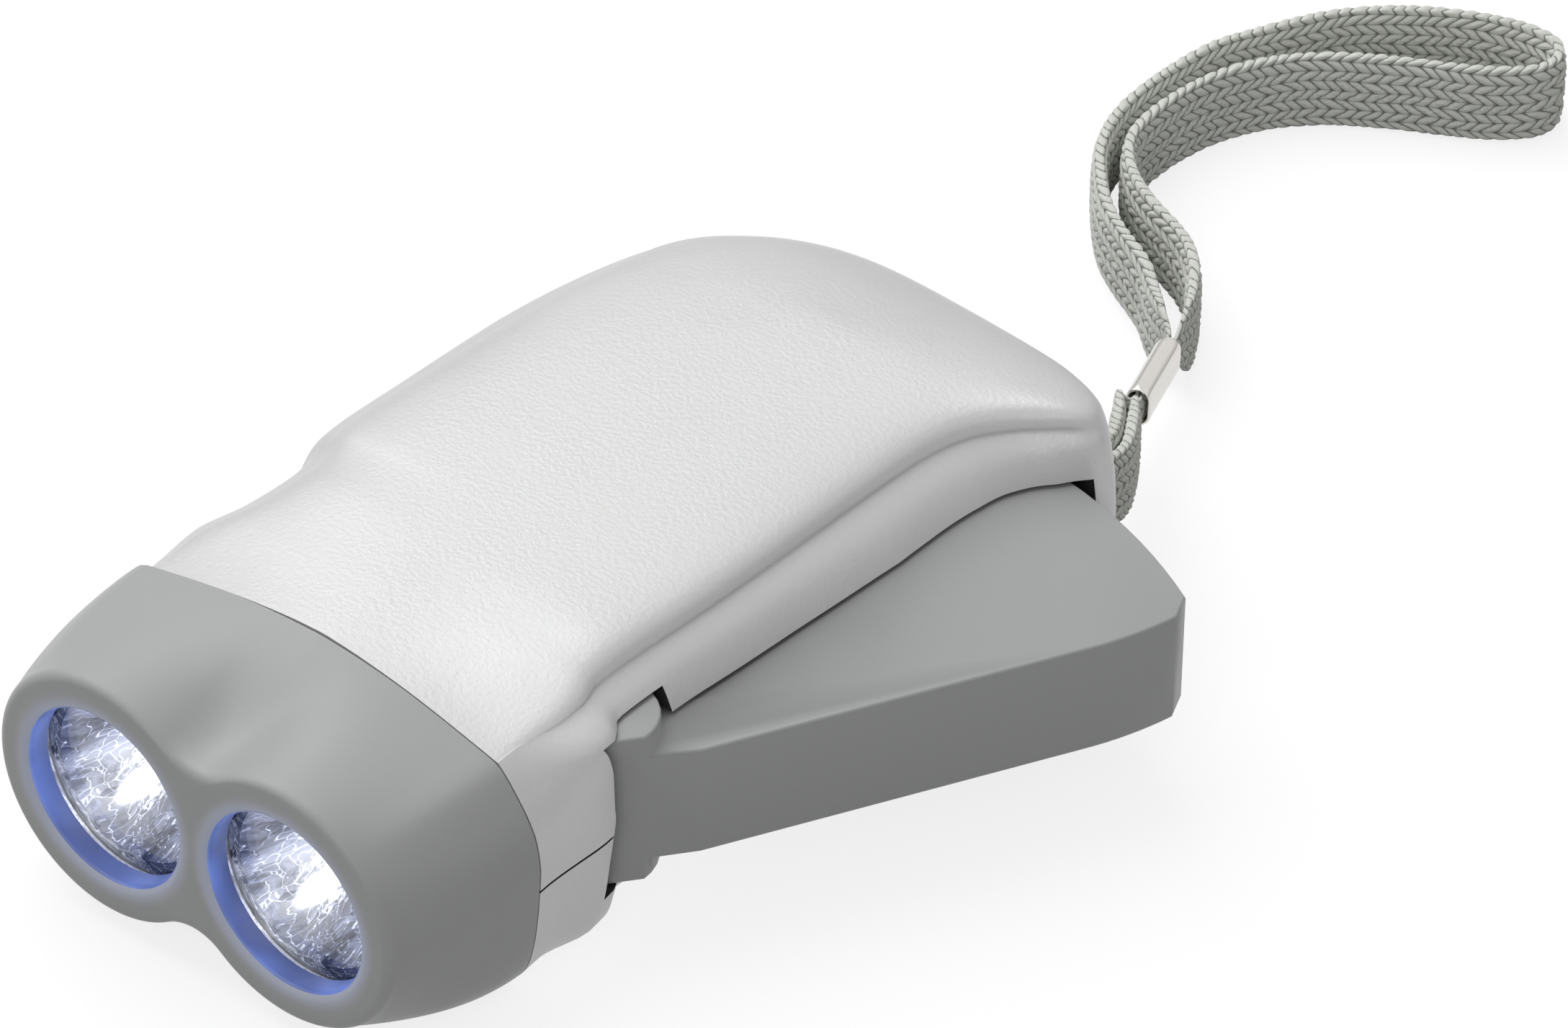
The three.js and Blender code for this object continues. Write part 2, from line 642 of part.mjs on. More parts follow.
function housingShells() {
  const housing = hollowHousing();
  const bossTop = crownHeight;
  const [topStart, bottomEnd] = [partingHeight + partingGap / 2, partingHeight - partingGap / 2];
  const topBosses = joined(
    ...screwPlaces.map((place) => post(place, bossRadius, topStart, bossTop)),
    post(strapPlace, strapBossRadius, strapHeight + eyeletHalfHeight + clearance, bossTop),
  );
  const topHoles = [
    ...screwPlaces.map((place) => post(place, screwShank + clearance, -farReach, screwTop + clearance)),
    post(strapPlace, strapPinRadius + clearance, -farReach, strapPinTop + clearance),
  ];
  const above = box([-farReach, farReach], [-farReach, farReach], [topStart, farReach]);
  const top = joined(housing.intersect(above), topBosses.intersect(housingOuter));
  addPiece('top_shell', without(top, ...topHoles), silverPlastic);

  const headDepth = screwSink + screwHead[1] + clearance - baseDepth;
  const bottomBosses = joined(
    ...screwPlaces.map((place) => post(place, bossRadius, -baseDepth, bottomEnd)),
    ...screwPlaces.map((place) => post(place, bossFootRadius, -baseDepth, bossFootHeight - baseDepth)),
    ...axlePlaces.map((place) => post(place, axleBossRadius, -baseDepth, axleBossTop)),
    ...corePosts.map((place) => post(place, corePostRadius, -baseDepth, coreBottom - clearance)),
    post(strapPlace, strapBossRadius, -baseDepth, strapHeight - eyeletHalfHeight - clearance),
    ...[-1, 1].map((side) => {
      const middle = cellPlace + side * (cellRadius + clearance + cradleRib / 2);
      const along = [middle - cradleRib / 2, middle + cradleRib / 2];
      return box([-cellLength / 3, cellLength / 3], along, [-baseDepth, floorTop + cradleHeight]);
    }),
  ).intersect(housingOuter);
  const platePosts = joined(
    ...postPlaces.map((place) => post(place, postRadius, floorTop - overrun, plateBottom - clearance)),
  );
  const bottomHoles = [
    ...screwPlaces.map((place) => post(place, screwShank + clearance, -farReach, 0)),
    ...screwPlaces.map((place) => post(place, screwHead[0] + clearance, -farReach, headDepth)),
    ...axlePlaces.map((place) => post(place, axleHole, floorTop, 0, 12)),
    ...postPlaces.map((place) => (
      post(place, plateScrewShank[0] + clearance, plateBottom - plateScrewShank[1] - clearance, farReach, 8)
    )),
    post(strapPlace, strapPinRadius + clearance, floorTop, 0),
    post(pivotPlace, pinRadius + clearance, floorTop, 0),
  ];
  const below = box([-farReach, farReach], [-farReach, farReach], [-farReach, bottomEnd]);
  const bottom = joined(housing.intersect(below), bottomBosses, platePosts);
  addPiece('bottom_shell', without(bottom, ...bottomHoles), silverPlastic);
}

function housingScrews() {
  const headBottom = screwSink - baseDepth;
  const headTop = headBottom + screwHead[1];
  screwPlaces.forEach((place, i) => {
    addPiece(`housing_screw_${i + 1}`, joined(
      post(place, screwHead[0], headBottom, headTop, 12),
      post(place, screwShank, headBottom, screwTop, 8),
    ), steel);
  });
}

// Head form.

// Distance from the middle of the lens face to its figure-of-eight edge.
function faceEdge(angle) {
  const [c, s] = [Math.abs(Math.cos(angle)), Math.abs(Math.sin(angle))];
  const half = lampSpacing / 2;
  const waistRadius = (half ** 2 + waistHeight ** 2 - lobeRadius ** 2) / (2 * (lobeRadius - waistHeight));
  const waistCentre = waistHeight + waistRadius;
  const touchX = half - lobeRadius * half / (lobeRadius + waistRadius);
  const touchZ = lobeRadius * waistCentre / (lobeRadius + waistRadius);
  return s * touchX < c * touchZ
    ? half * c + Math.sqrt(lobeRadius ** 2 - (half * s) ** 2)
    : waistCentre * s - Math.sqrt(waistRadius ** 2 - (waistCentre * c) ** 2);
}

// Distance from the middle line to the housing's own section at the seam.
const seamSection = (() => {
  const rings = housingRings(headLength);
  const right = rings.map((ring) => [ring[ring.length - 1].x, ring[0].z]);
  const left = rings.map((ring) => [ring[0].x, ring[0].z]);
  return [...right, ...left.reverse()];
})();

function seamEdge(angle) {
  const ray = [Math.cos(angle), Math.sin(angle)];
  const hits = seamSection.map(([x0, z0], i) => {
    const [x1, z1] = seamSection[(i + 1) % seamSection.length];
    const [dx, dz] = [x1 - x0, z1 - z0];
    const across = ray[0] * dz - ray[1] * dx;
    const along = (ray[1] * x0 - ray[0] * z0) / across;
    const distance = (x0 * dz - z0 * dx) / across;
    return along >= -edgeSlackShare && along <= 1 + edgeSlackShare ? distance : 0;
  });
  return Math.max(...hits);
}

function headRing(y, share, inset, sides = headSides) {
  return Array.from({ length: sides }, (_, i) => {
    const angle = (2 * Math.PI * i) / sides;
    const blend = 1 - (1 - share) ** headFullness;
    const radius = THREE.MathUtils.lerp(faceEdge(angle), seamEdge(angle), blend) - inset;
    const proud = blend * headProud * Math.max(0, -Math.cos(angle));
    return new THREE.Vector3(radius * Math.cos(angle) - proud, y, radius * Math.sin(angle));
  });
}

const headStations = headStationShares.map((share) => (
  [rimRound + share * (headLength - rimRound), share]
));

function headOuter() {
  const rim = arcPoints(rimRound, 180, 90, 3);
  return loft([
    ...rim.map(([x, y]) => headRing(rimRound + x, 0, rimRound - y)),
    ...headStations.map(([y, share]) => headRing(y, share, 0)),
  ], ['z', 'x']);
}

function headCavity() {
  const startShare = (headBlockDepth - rimRound) / (headLength - rimRound);
  const within = headStations.filter(([, share], i) => share > startShare && i % 2 === 1);
  return loft([
    headRing(headBlockDepth, startShare, wallThickness, headCavitySides),
    ...within.map(([y, share]) => headRing(y, share, wallThickness, headCavitySides)),
    headRing(headLength + overrun, 1, wallThickness, headCavitySides),
  ], ['z', 'x']);
}

const lampPlaces = [['left', -lampSpacing / 2], ['right', lampSpacing / 2]];
const lensFront = boreDepth + clearance;
const lensBack = lensFront + lensThickness;
const reflectorFront = lensBack + clearance;
const lensRadius = boreRadius + lensRim;

function headBezel() {
  const seatRadius = lensRadius + clearance;
  const bores = lampPlaces.map(([, x]) => turnedAlongY([
    [0, -overrun], [boreRadius + rimRound, -overrun], [boreRadius + rimRound / 2, 0],
    [boreRadius, rimRound], [boreRadius, boreDepth],
    [seatRadius, boreDepth], [seatRadius, headBlockDepth + overrun], [0, headBlockDepth + overrun],
  ], x, 32));
  addPiece('head_bezel', without(headOuter(), headCavity(), ...bores), greyPlastic);
}

function lamps() {
  const throat = ledRadius + clearance;
  const reflectorBack = reflectorFront + reflectorDepth;
  const cup = (share, wall) => [
    THREE.MathUtils.lerp(throat, boreRadius - reflectorLip, Math.sqrt(share)) + wall,
    THREE.MathUtils.lerp(reflectorBack - reflectorWall, reflectorFront, share),
  ];
  const flangeBack = reflectorFront + reflectorFlange;
  const cupShares = [0.2, 0.6];
  const ledBack = reflectorBack + clearance + ledBase;
  const domeStart = ledBack - ledLength;
  for (const [side, x] of lampPlaces) {
    addPiece(`lens_${side}`, turnedAlongY([
      [0, lensFront], [lensRadius, lensFront], [lensRadius, lensBack], [0, lensBack],
    ], x, 24), clearPlastic);
    addPiece(`reflector_${side}`, turnedAlongY([
      cup(1, 0), [lensRadius, reflectorFront], [lensRadius, flangeBack], [boreRadius, flangeBack],
      ...cupShares.slice().reverse().map((share) => cup(share, reflectorWall)),
      [throat + reflectorWall, reflectorBack], [throat, reflectorBack], cup(0, 0),
      ...cupShares.map((share) => cup(share, 0)), cup(1, 0),
    ], x, 16), chrome);
    addPiece(`led_${side}`, turnedAlongY([
      ...arcPoints(ledRadius, 270, 360, 3, [0, domeStart]),
      [ledRadius, ledBack - ledBase], [ledRadius + ledFlange, ledBack - ledBase],
      [ledRadius + ledFlange, ledBack], [0, ledBack],
    ], x, 12), ledEpoxy);
  }
}

// Circuit board, its parts, the storage cell and the leads.
const boardFront = reflectorFront + reflectorDepth + clearance + ledBase + clearance;
const boardBack = boardFront + boardThickness;
const behindBoard = boardBack + clearance;
const cellPlace = behindBoard + capacitorLength + clearance + cellRadius;

function electrics() {
  addPiece('circuit_board', box(
    [-boardHalfWidth, boardHalfWidth], [boardFront, boardBack], [-boardHalfHeight, boardHalfHeight],
  ), boardGreen);
  const [width, depth, height] = rectifierSize;
  const rectifierX = -boardHalfWidth * rectifierPlaceShare;
  addPiece('rectifier', box(
    [rectifierX - width / 2, rectifierX + width / 2], [behindBoard, behindBoard + depth],
    [-height / 2, height / 2],
  ), blackPlastic);
  addPiece('smoothing_capacitor', turnedAlongY([
    [0, behindBoard], [capacitorRadius, behindBoard],
    [capacitorRadius, behindBoard + capacitorLength], [0, behindBoard + capacitorLength],
  ], 0, 16), blackPlastic);
  const cell = new THREE.CylinderGeometry(cellRadius, cellRadius, cellLength, 20);
  addPiece('storage_cell', solidFrom(cell.rotateZ(Math.PI / 2).translate(0, cellPlace, cellHeight)), steel);
  const cellLead = (side) => wire(cellLeadShares.map(([along, out, rise]) => new THREE.Vector3(
    side * (cellLength / 2 + leadRadius + out * cellLeadOut),
    THREE.MathUtils.lerp(cellPlace, behindBoard, along),
    cellHeight * THREE.MathUtils.lerp(1, cellLeadRiseShare, rise),
  )));
  addPiece('cell_lead_left', cellLead(-1), blackPlastic);
  addPiece('cell_lead_right', cellLead(1), leadRed);
  const coilRoute = [
    ...coilLeadStart.map(([x, y, z]) => [rotorPlace[0] + x, yokeStart + y, z]),
    ...coilLeadShares.map(([x, y, z]) => [x * creaseHalfWidth, y * bodyLength, z * baseDepth]),
    ...coilLeadEnd.map(([x, y, z]) => [x, behindBoard + y, z]),
  ];
  const coilLead = (drop) => wire(coilRoute.map(([x, y, z]) => new THREE.Vector3(x, y, z - drop)));
  addPiece('coil_lead_upper', coilLead(0), leadRed);
  addPiece('coil_lead_lower', coilLead(coilLeadSpacing), blackPlastic);
}

function wire(points) {
  const curve = new THREE.CatmullRomCurve3(points);
  const section = polygon(arcPoints(leadRadius, 0, 300, 5));
  return solidFrom(new THREE.ExtrudeGeometry(section, {
    steps: Math.ceil(leadStepsPerPoint * points.length), bevelEnabled: false, extrudePath: curve,
  }));
}

// Gears.

// Outline points of teeth on a pitch circle, the first tooth's middle at the phase.
function toothPoints(module, teeth, phaseDegrees, count = teeth, slack = backlash) {
  const pitch = pitchRadius(module, teeth);
  const [tip, root] = [pitch + addendumShare * module, pitch - dedendumShare * module];
  const pressure = THREE.MathUtils.degToRad(pressureDegrees);
  const base = pitch * Math.cos(pressure);
  const involute = (angle) => Math.tan(angle) - angle;
  const halfAt = (radius) => {
    const atPitch = Math.PI / (2 * teeth) - slack / (2 * pitch);
    const spread = involute(Math.acos(Math.min(1, base / radius)));
    return THREE.MathUtils.radToDeg(atPitch + involute(pressure) - spread);
  };
  const flank = teeth > coarseTeeth ? [root, tip] : [root, pitch, tip];
  return Array.from({ length: count }, (_, i) => {
    const middle = phaseDegrees + (360 * i) / teeth;
    const rising = flank.map((radius) => polar(radius, middle - halfAt(radius)));
    const falling = flank.slice().reverse().map((radius) => polar(radius, middle + halfAt(radius)));
    return [...rising, ...falling];
  }).flat();
}

function gear(module, teeth, phaseDegrees, z0, z1) {
  return extruded(polygon(toothPoints(module, teeth, phaseDegrees)), z0, z1);
}

// Bearings of the lines of centres, and phases that put a tooth of the driver on each line and a
// gap of the driven gear there.
const lineAngle = (from, to) => THREE.MathUtils.radToDeg(Math.atan2(to[1] - from[1], to[0] - from[0]));
const gapPhase = (driver, driven, teeth) => lineAngle(driver, driven) + 180 + 180 / teeth;

function turning(name, place) {
  const group = new THREE.Group();
  group.position.set(place[0], place[1], 0);
  torch.add(group);
  return (piece, solid, material) => addPiece(piece, solid, material, group);
}

function gearTrain() {
  const origin = [0, 0];
  const firstWheelTop = firstWheelBottom + wheelThickness;
  const secondWheelTop = secondWheelBottom + wheelThickness;
  const firstPhase = gapPhase(pivotPlace, firstPlace, firstPinionTeeth);
  const firstSleeve = pitchRadius(sectorModule, firstPinionTeeth) - dedendumShare * sectorModule;
  const first = without(
    joined(
      gear(sectorModule, firstPinionTeeth, firstPhase, -firstPinionHalf, firstPinionHalf),
      post(origin, firstSleeve, -firstPinionHalf, firstWheelTop + clearance),
      gear(
        firstModule, firstWheelTeeth, lineAngle(firstPlace, secondPlace), firstWheelBottom, firstWheelTop,
      ),
    ),
    post(origin, axleHole, -farReach, farReach, 12),
  );
  turning('first', firstPlace)('first_gear', first, whiteNylon);

  const secondPhase = gapPhase(firstPlace, secondPlace, secondPinionTeeth);
  const secondSleeve = pitchRadius(firstModule, secondPinionTeeth) - dedendumShare * firstModule;
  const second = without(
    joined(
      gear(
        firstModule, secondPinionTeeth, secondPhase, firstWheelBottom - clearance,
        firstWheelTop + clearance,
      ),
      post(origin, secondSleeve, secondWheelBottom, firstWheelTop + clearance),
      gear(
        secondModule, secondWheelTeeth, lineAngle(secondPlace, rotorPlace), secondWheelBottom,
        secondWheelTop,
      ),
    ),
    post(origin, axleHole, -farReach, farReach, 12),
  );
  turning('second', secondPlace)('second_gear', second, whiteNylon);

  const rotorPhase = gapPhase(secondPlace, rotorPlace, rotorPinionTeeth);
  const magnetTop = magnetBottom + magnetHeight;
  const flywheelBottom = magnetTop + clearance;
  const flywheelTop = flywheelBottom + flywheelThickness;
  const pinionTop = magnetBottom - clearance;
  const rotorHub = without(
    joined(
      gear(secondModule, rotorPinionTeeth, rotorPhase, secondWheelBottom, pinionTop),
      post(origin, rotorSleeve, pinionTop - clearance, flywheelTop),
    ),
    post(origin, axleHole, -farReach, farReach, 12),
  );
  const addRotor = turning('rotor', rotorPlace);
  addRotor('rotor_pinion', rotorHub, whiteNylon);
  const sleeveHole = post(origin, rotorSleeve + clearance, -farReach, farReach);
  const magnet = post(origin, magnetRadius, magnetBottom, magnetTop, 28);
  const flywheel = post(origin, flywheelRadius, flywheelBottom, flywheelTop, 28);
  addRotor('ring_magnet', without(magnet, sleeveHole), darkFerrite);
  addRotor('flywheel', without(flywheel, sleeveHole), steel);

  const axleNames = ['first_axle', 'second_axle', 'rotor_axle'];
  axlePlaces.forEach((place, i) => {
    const axle = post(place, axleRadius, floorTop + clearance, plateBottom + plateThickness, 10);
    addPiece(axleNames[i], axle, steel);
  });
}

// Carrier plate that holds the tops of the axles, on three posts of the bottom shell.
function carrierPlate() {
  const [front, right, left] = postPlaces;
  const outline = beltShape([front, firstPlace, right, rotorPlace, left], plateMargin);
  const plateTop = plateBottom + plateThickness;
  addPiece('gear_plate', without(
    extruded(outline, plateBottom, plateTop),
    ...axlePlaces.map((place) => post(place, axleHole, 0, farReach, 12)),
    ...postPlaces.map((place) => post(place, plateScrewShank[0] + clearance, 0, farReach, 8)),
  ), whiteNylon);
  const headBottom = plateTop + clearance;
  postPlaces.forEach((place, i) => {
    addPiece(`plate_screw_${i + 1}`, joined(
      post(place, plateScrewHead[0], headBottom, headBottom + plateScrewHead[1], 12),
      post(place, plateScrewShank[0], plateBottom - plateScrewShank[1], headBottom + clearance, 8),
    ), steel);
  });
}

// Generator core, bobbin and winding.
function generator() {
  const [rotorX, rotorY] = rotorPlace;
  const coreTop = coreBottom + coreHeight;
  const yokeEnd = yokeStart + yokeWidth;
  const shoe = (middle) => extruded(polygon([
    ...arcPoints(poleOuter, middle - poleHalfDegrees, middle + poleHalfDegrees, 8, rotorPlace),
    ...arcPoints(poleInner, middle + poleHalfDegrees, middle - poleHalfDegrees, 8, rotorPlace),
  ]), coreBottom, coreTop);
  const arm = (side) => {
    const ends = [rotorX + side * poleInner, rotorX + side * poleOuter].sort((a, b) => a - b);
    return box(ends, [rotorY, yokeEnd], [coreBottom, coreTop]);
  };
  const yoke = box([rotorX - poleOuter, rotorX + poleOuter], [yokeStart, yokeEnd], [coreBottom, coreTop]);
  const bore = post(rotorPlace, poleInner, coreBottom - overrun, coreTop + overrun, 28);
  addPiece('stator_core', without(joined(shoe(0), shoe(180), arm(-1), arm(1), yoke), bore), steel);

  const halfLength = poleInner - clearance;
  const across = (half, grow) => roundedBox(half[0] + grow, half[1] + grow, clearance);
  const alongX = (shape, x0, x1) => {
    const geometry = new THREE.ExtrudeGeometry(shape, { depth: x1 - x0, bevelEnabled: false });
    const turned = geometry.rotateX(Math.PI / 2).rotateZ(Math.PI / 2);
    return solidFrom(turned.translate(rotorX + x0, yokeStart + yokeWidth / 2, coreBottom + coreHeight / 2));
  };
  const yokeHalf = [yokeWidth / 2, coreHeight / 2];
  const tubeGrow = clearance + bobbinWall;
  const flangeGrow = tubeGrow + bobbinFlange;
  const tubeHole = alongX(across(yokeHalf, clearance), -halfLength - overrun, halfLength + overrun);
  addPiece('coil_bobbin', without(joined(
    alongX(across(yokeHalf, tubeGrow), -halfLength, halfLength),
    alongX(across(yokeHalf, flangeGrow), -halfLength, bobbinWall - halfLength),
    alongX(across(yokeHalf, flangeGrow), halfLength - bobbinWall, halfLength),
  ), tubeHole), blackPlastic);
  const coilEnd = halfLength - bobbinWall - clearance;
  addPiece('coil_winding', without(
    alongX(across(yokeHalf, flangeGrow - windingGap), -coilEnd, coilEnd),
    alongX(across(yokeHalf, tubeGrow + clearance), -halfLength, halfLength),
  ), copper);
}

// Grip lever, drawn shut about its pivot and then opened.
function gripLever() {
  const lever = new THREE.Group();
  lever.position.set(pivotX, pivotY, 0);
  lever.rotation.z = -THREE.MathUtils.degToRad(leverOpenDegrees);
  torch.add(lever);

  const origin = [0, 0];
  const half = leverThickness / 2;
  const innerAngle = 90 + leverInnerDegrees;
  const gripStraight = leverReach - gripTaper;
  const tipStart = leverReach - tipRoll;
  const tipAngle = THREE.MathUtils.radToDeg(Math.atan2(tipStart, tipOffset));
  const plate = new THREE.Shape();
  plate.moveTo(facetOffset, -facetStart);
  plate.lineTo(gripOffset, gripBend);
  plate.lineTo(gripOffset, gripStraight);
  plate.quadraticCurveTo(gripOffset, (gripStraight + tipStart) / 2, tipOffset, tipStart);
  for (const [x, y] of arcPoints(leverReach, tipAngle + tipRoundDegrees, innerAngle, 12)) {
    plate.lineTo(x, y);
  }
  plate.lineTo(...polar(barrelRadius / 2, innerAngle));
  plate.lineTo(0, -facetOffset);

  // Hollow behind the grip, open on the side that swings into the housing.
  const reach = leverReach - leverWall;
  const pocketWide = innerAngle + pocketOverDegrees;
  const pocketStart = barrelRadius + leverWall;
  const inner = gripOffset - leverWall;
  const pocket = polygon([
    [inner - leverWall, pocketStart], [inner, gripBend + leverWall], [inner, gripStraight],
    ...arcPoints(reach, tipAngle + pocketTipDegrees, pocketWide, 10),
    polar(pocketStart, pocketWide + pocketOverDegrees),
  ]);
  const skin = half - leverSkin;
  const ribs = joined(...leverRibPlaces.map((y) => (
    box([-y * ribDepthShare, gripOffset], [y - leverRib / 2, y + leverRib / 2], [-half, half])
  )));
  const hollow = without(extruded(pocket, -skin, skin), ribs);

  const toothStep = 360 / sectorTeeth;
  const meshAngle = 90 + firstBearing + leverOpenDegrees;
  const firstTooth = meshAngle - sectorTrailTeeth * toothStep;
  const count = sectorTrailTeeth + sectorLeadTeeth + 1;
  const root = sectorRadius - dedendumShare * sectorModule;
  const sector = extruded(polygon([
    origin, ...arcPoints(root, innerAngle - pocketOverDegrees, firstTooth - toothStep, 8),
    ...toothPoints(sectorModule, sectorTeeth, firstTooth, count),
    polar(root, meshAngle + sectorLeadTeeth * toothStep + toothStep / 2),
  ]), -sectorHalfThickness, sectorHalfThickness);

  // The barrel is taller than the grip, and shares the flat of its outer face.
  const facetTurn = Math.atan2(gripOffset - facetOffset, gripBend + facetStart);
  const facetDistance = facetOffset * Math.cos(facetTurn) + facetStart * Math.sin(facetTurn);
  const facetAngle = -THREE.MathUtils.radToDeg(facetTurn);
  const facetHalf = THREE.MathUtils.radToDeg(Math.acos(facetDistance / barrelRadius));
  const barrel = extruded(polygon(arcPoints(
    barrelRadius, facetAngle + facetHalf, facetAngle - facetHalf + 360, 24, origin,
  )), -barrelHeight / 2, barrelHeight / 2, leverEdgeRound);
  const bores = joined(
    post(origin, pinRadius + clearance, -farReach, pivotPinTop + clearance),
    post(origin, springPocketRadius, -farReach, springPocketDepth - barrelHeight / 2, 20),
  );
  const body = joined(without(extruded(plate, -half, half, leverEdgeRound, 8), hollow), barrel, sector);
  addPiece('grip_lever', without(body, bores), greyPlastic, lever);
}

function pivotParts() {
  addPiece('pivot_pin', post(pivotPlace, pinRadius, floorTop + clearance, pivotPinTop), steel);
  const perTurn = 8;
  const steps = springTurns * perTurn;
  const bottom = clearance + springWire - recessHalf;
  const points = Array.from({ length: steps + 1 }, (_, i) => {
    const [x, y] = polar(springRadius, (360 * i) / perTurn, pivotPlace);
    return new THREE.Vector3(x, y, bottom + springPitch * i / perTurn);
  });
  const section = polygon(arcPoints(springWire, 0, 300, 5));
  addPiece('return_spring', solidFrom(new THREE.ExtrudeGeometry(section, {
    steps, bevelEnabled: false, extrudePath: new THREE.CatmullRomCurve3(points),
  })), steel);
}

// Strap: a pin in the tail, a short loop of braid round it, the ferrule and the wrist loop.

const ferruleHeading = polar(1, ferruleDegrees);
const ferrulePlace = [strapPlace[0] - ferruleAside, strapPlace[1] + ferruleBehind];
function inFerrule(along, side) {
  const [dx, dy] = ferruleHeading;
  const [x, y] = ferrulePlace;
  return new THREE.Vector3(x + along * dx + side * dy, y + along * dy - side * dx, ferruleZ);
}

// A flat braid on edge along a route, pinched towards both ends where the ferrule grips it.
function braid(points) {
  const curve = new THREE.CatmullRomCurve3(points);
  const steps = Math.round(curve.getLength() / (braidStepShare * braidThickness));
  const total = curve.getLength();
  const rings = curve.getSpacedPoints(steps).map((point, i) => {
    const along = curve.getTangentAt(i / steps);
    const side = new THREE.Vector3(along.y, -along.x, 0).normalize();
    const fromEnd = Math.min(i, steps - i) / steps * total;
    const open = THREE.MathUtils.smoothstep(fromEnd, ferruleLength / 2, pinchLength + ferruleLength / 2);
    const halfWidth = THREE.MathUtils.lerp(pinchedWidth, braidWidth, open) / 2;
    const halfThick = THREE.MathUtils.lerp(pinchedThickness, braidThickness, open) / 2;
    const up = new THREE.Vector3(0, 0, 1);
    return braidSectionShares.map(([s, u]) => (
      point.clone().addScaledVector(side, s * halfThick).addScaledVector(up, u * halfWidth)
    ));
  });
  return loftAlong(rings);
}
const braidSectionShares = [
  [-1, -0.9], [-0.5, -1], [0.5, -1], [1, -0.9], [1, 0.9], [0.5, 1], [-0.5, 1], [-1, 0.9],
];

// A closed surface through rings that follow a route, each end closed by a fan.
function loftAlong(rings) {
  const sides = rings[0].length;
  const positions = rings.flatMap((ring) => ring.flatMap((point) => [point.x, point.y, point.z]));
  const index = [];
  for (let r = 0; r + 1 < rings.length; r += 1) {
    for (let i = 0; i < sides; i += 1) {
      const next = (i + 1) % sides;
      const [a, b] = [r * sides + i, r * sides + next];
      index.push(a, b, b + sides, a, b + sides, a + sides);
    }
  }
  const last = (rings.length - 1) * sides;
  for (let i = 1; i + 1 < sides; i += 1) {
    index.push(0, i + 1, i, last, last + i, last + i + 1);
  }
  const geometry = new THREE.BufferGeometry();
  geometry.setAttribute('position', new THREE.Float32BufferAttribute(positions, 3));
  geometry.setIndex(index);
  return solidFrom(geometry);
}

function strapParts() {
  addPiece('strap_pin', post(strapPlace, strapPinRadius, floorTop + clearance, strapPinTop), steel);
  const asPoints = (route) => route.map(([x, y, z]) => (
    new THREE.Vector3(strapPlace[0] + x, strapPlace[1] + y, z)
  ));
  const halfSpacing = pinchedSpacing / 2;
  const middleGap = clearance / 2;
  const mouth = ferruleLength / 2 + pinchRun;
  addPiece('strap_tail_loop', braid([
    inFerrule(-middleGap, halfSpacing), inFerrule(-mouth, halfSpacing), ...asPoints(anchorRoute),
    inFerrule(-mouth, -halfSpacing), inFerrule(-middleGap, -halfSpacing),
  ]), sageBraid);
  addPiece('wrist_strap', braid([
    inFerrule(middleGap, -halfSpacing), inFerrule(mouth, -halfSpacing), ...asPoints(strapRoute),
    inFerrule(mouth, halfSpacing), inFerrule(middleGap, halfSpacing),
  ]), sageBraid);
  const innerHalf = [halfSpacing + pinchedThickness / 2 + clearance, pinchedWidth / 2 + clearance];
  const tube = roundedBox(innerHalf[0] + ferruleWall, innerHalf[1] + ferruleWall, innerHalf[0], 4);
  tube.holes.push(roundedBox(innerHalf[0], innerHalf[1], innerHalf[0] / 2));
  const geometry = new THREE.ExtrudeGeometry(tube, { depth: ferruleLength, bevelEnabled: false });
  geometry.translate(0, 0, -ferruleLength / 2).rotateX(-Math.PI / 2);
  geometry.rotateZ(THREE.MathUtils.degToRad(ferruleDegrees - 90)).translate(...ferrulePlace, ferruleZ);
  addPiece('strap_ferrule', solidFrom(geometry), chrome);
}

housingShells();
housingScrews();
headBezel();
lamps();
electrics();
gripLever();
pivotParts();
gearTrain();
carrierPlate();
generator();
strapParts();

export default torch;
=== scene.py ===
import math
from functools import partial

import bmesh
import bpy
import numpy as np
from bpy.props import FloatProperty, FloatVectorProperty, PointerProperty
from mathutils import Matrix, Vector
from mathutils.bvhtree import BVHTree


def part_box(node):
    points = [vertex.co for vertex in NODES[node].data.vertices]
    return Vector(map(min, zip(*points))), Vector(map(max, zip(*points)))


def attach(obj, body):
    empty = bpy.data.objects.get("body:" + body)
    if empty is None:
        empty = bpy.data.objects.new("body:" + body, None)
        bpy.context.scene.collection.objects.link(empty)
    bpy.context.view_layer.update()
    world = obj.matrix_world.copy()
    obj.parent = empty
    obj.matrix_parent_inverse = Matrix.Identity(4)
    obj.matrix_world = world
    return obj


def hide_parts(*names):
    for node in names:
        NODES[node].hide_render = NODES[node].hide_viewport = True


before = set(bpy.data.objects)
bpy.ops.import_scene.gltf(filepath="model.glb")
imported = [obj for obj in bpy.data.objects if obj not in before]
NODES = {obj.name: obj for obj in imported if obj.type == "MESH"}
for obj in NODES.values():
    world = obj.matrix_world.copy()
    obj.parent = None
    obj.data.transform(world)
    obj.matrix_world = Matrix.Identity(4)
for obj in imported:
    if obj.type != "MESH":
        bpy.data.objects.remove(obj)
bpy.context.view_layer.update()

bl_info = {
    "name": "Squeeze Dynamo Torch",
    "version": (1, 0, 0),
    "blender": (4, 5, 0),
    "location": "View3D > Sidebar > Torch",
    "description": "Builds a squeeze-lever dynamo torch with its strap, round its CAD frame",
    "category": "Add Mesh",
}

MM = 0.001

# The middle of the lens face, from which every length below is measured in millimetres.
LENS_FACE = np.array([0.0, -52.9, 16.0])

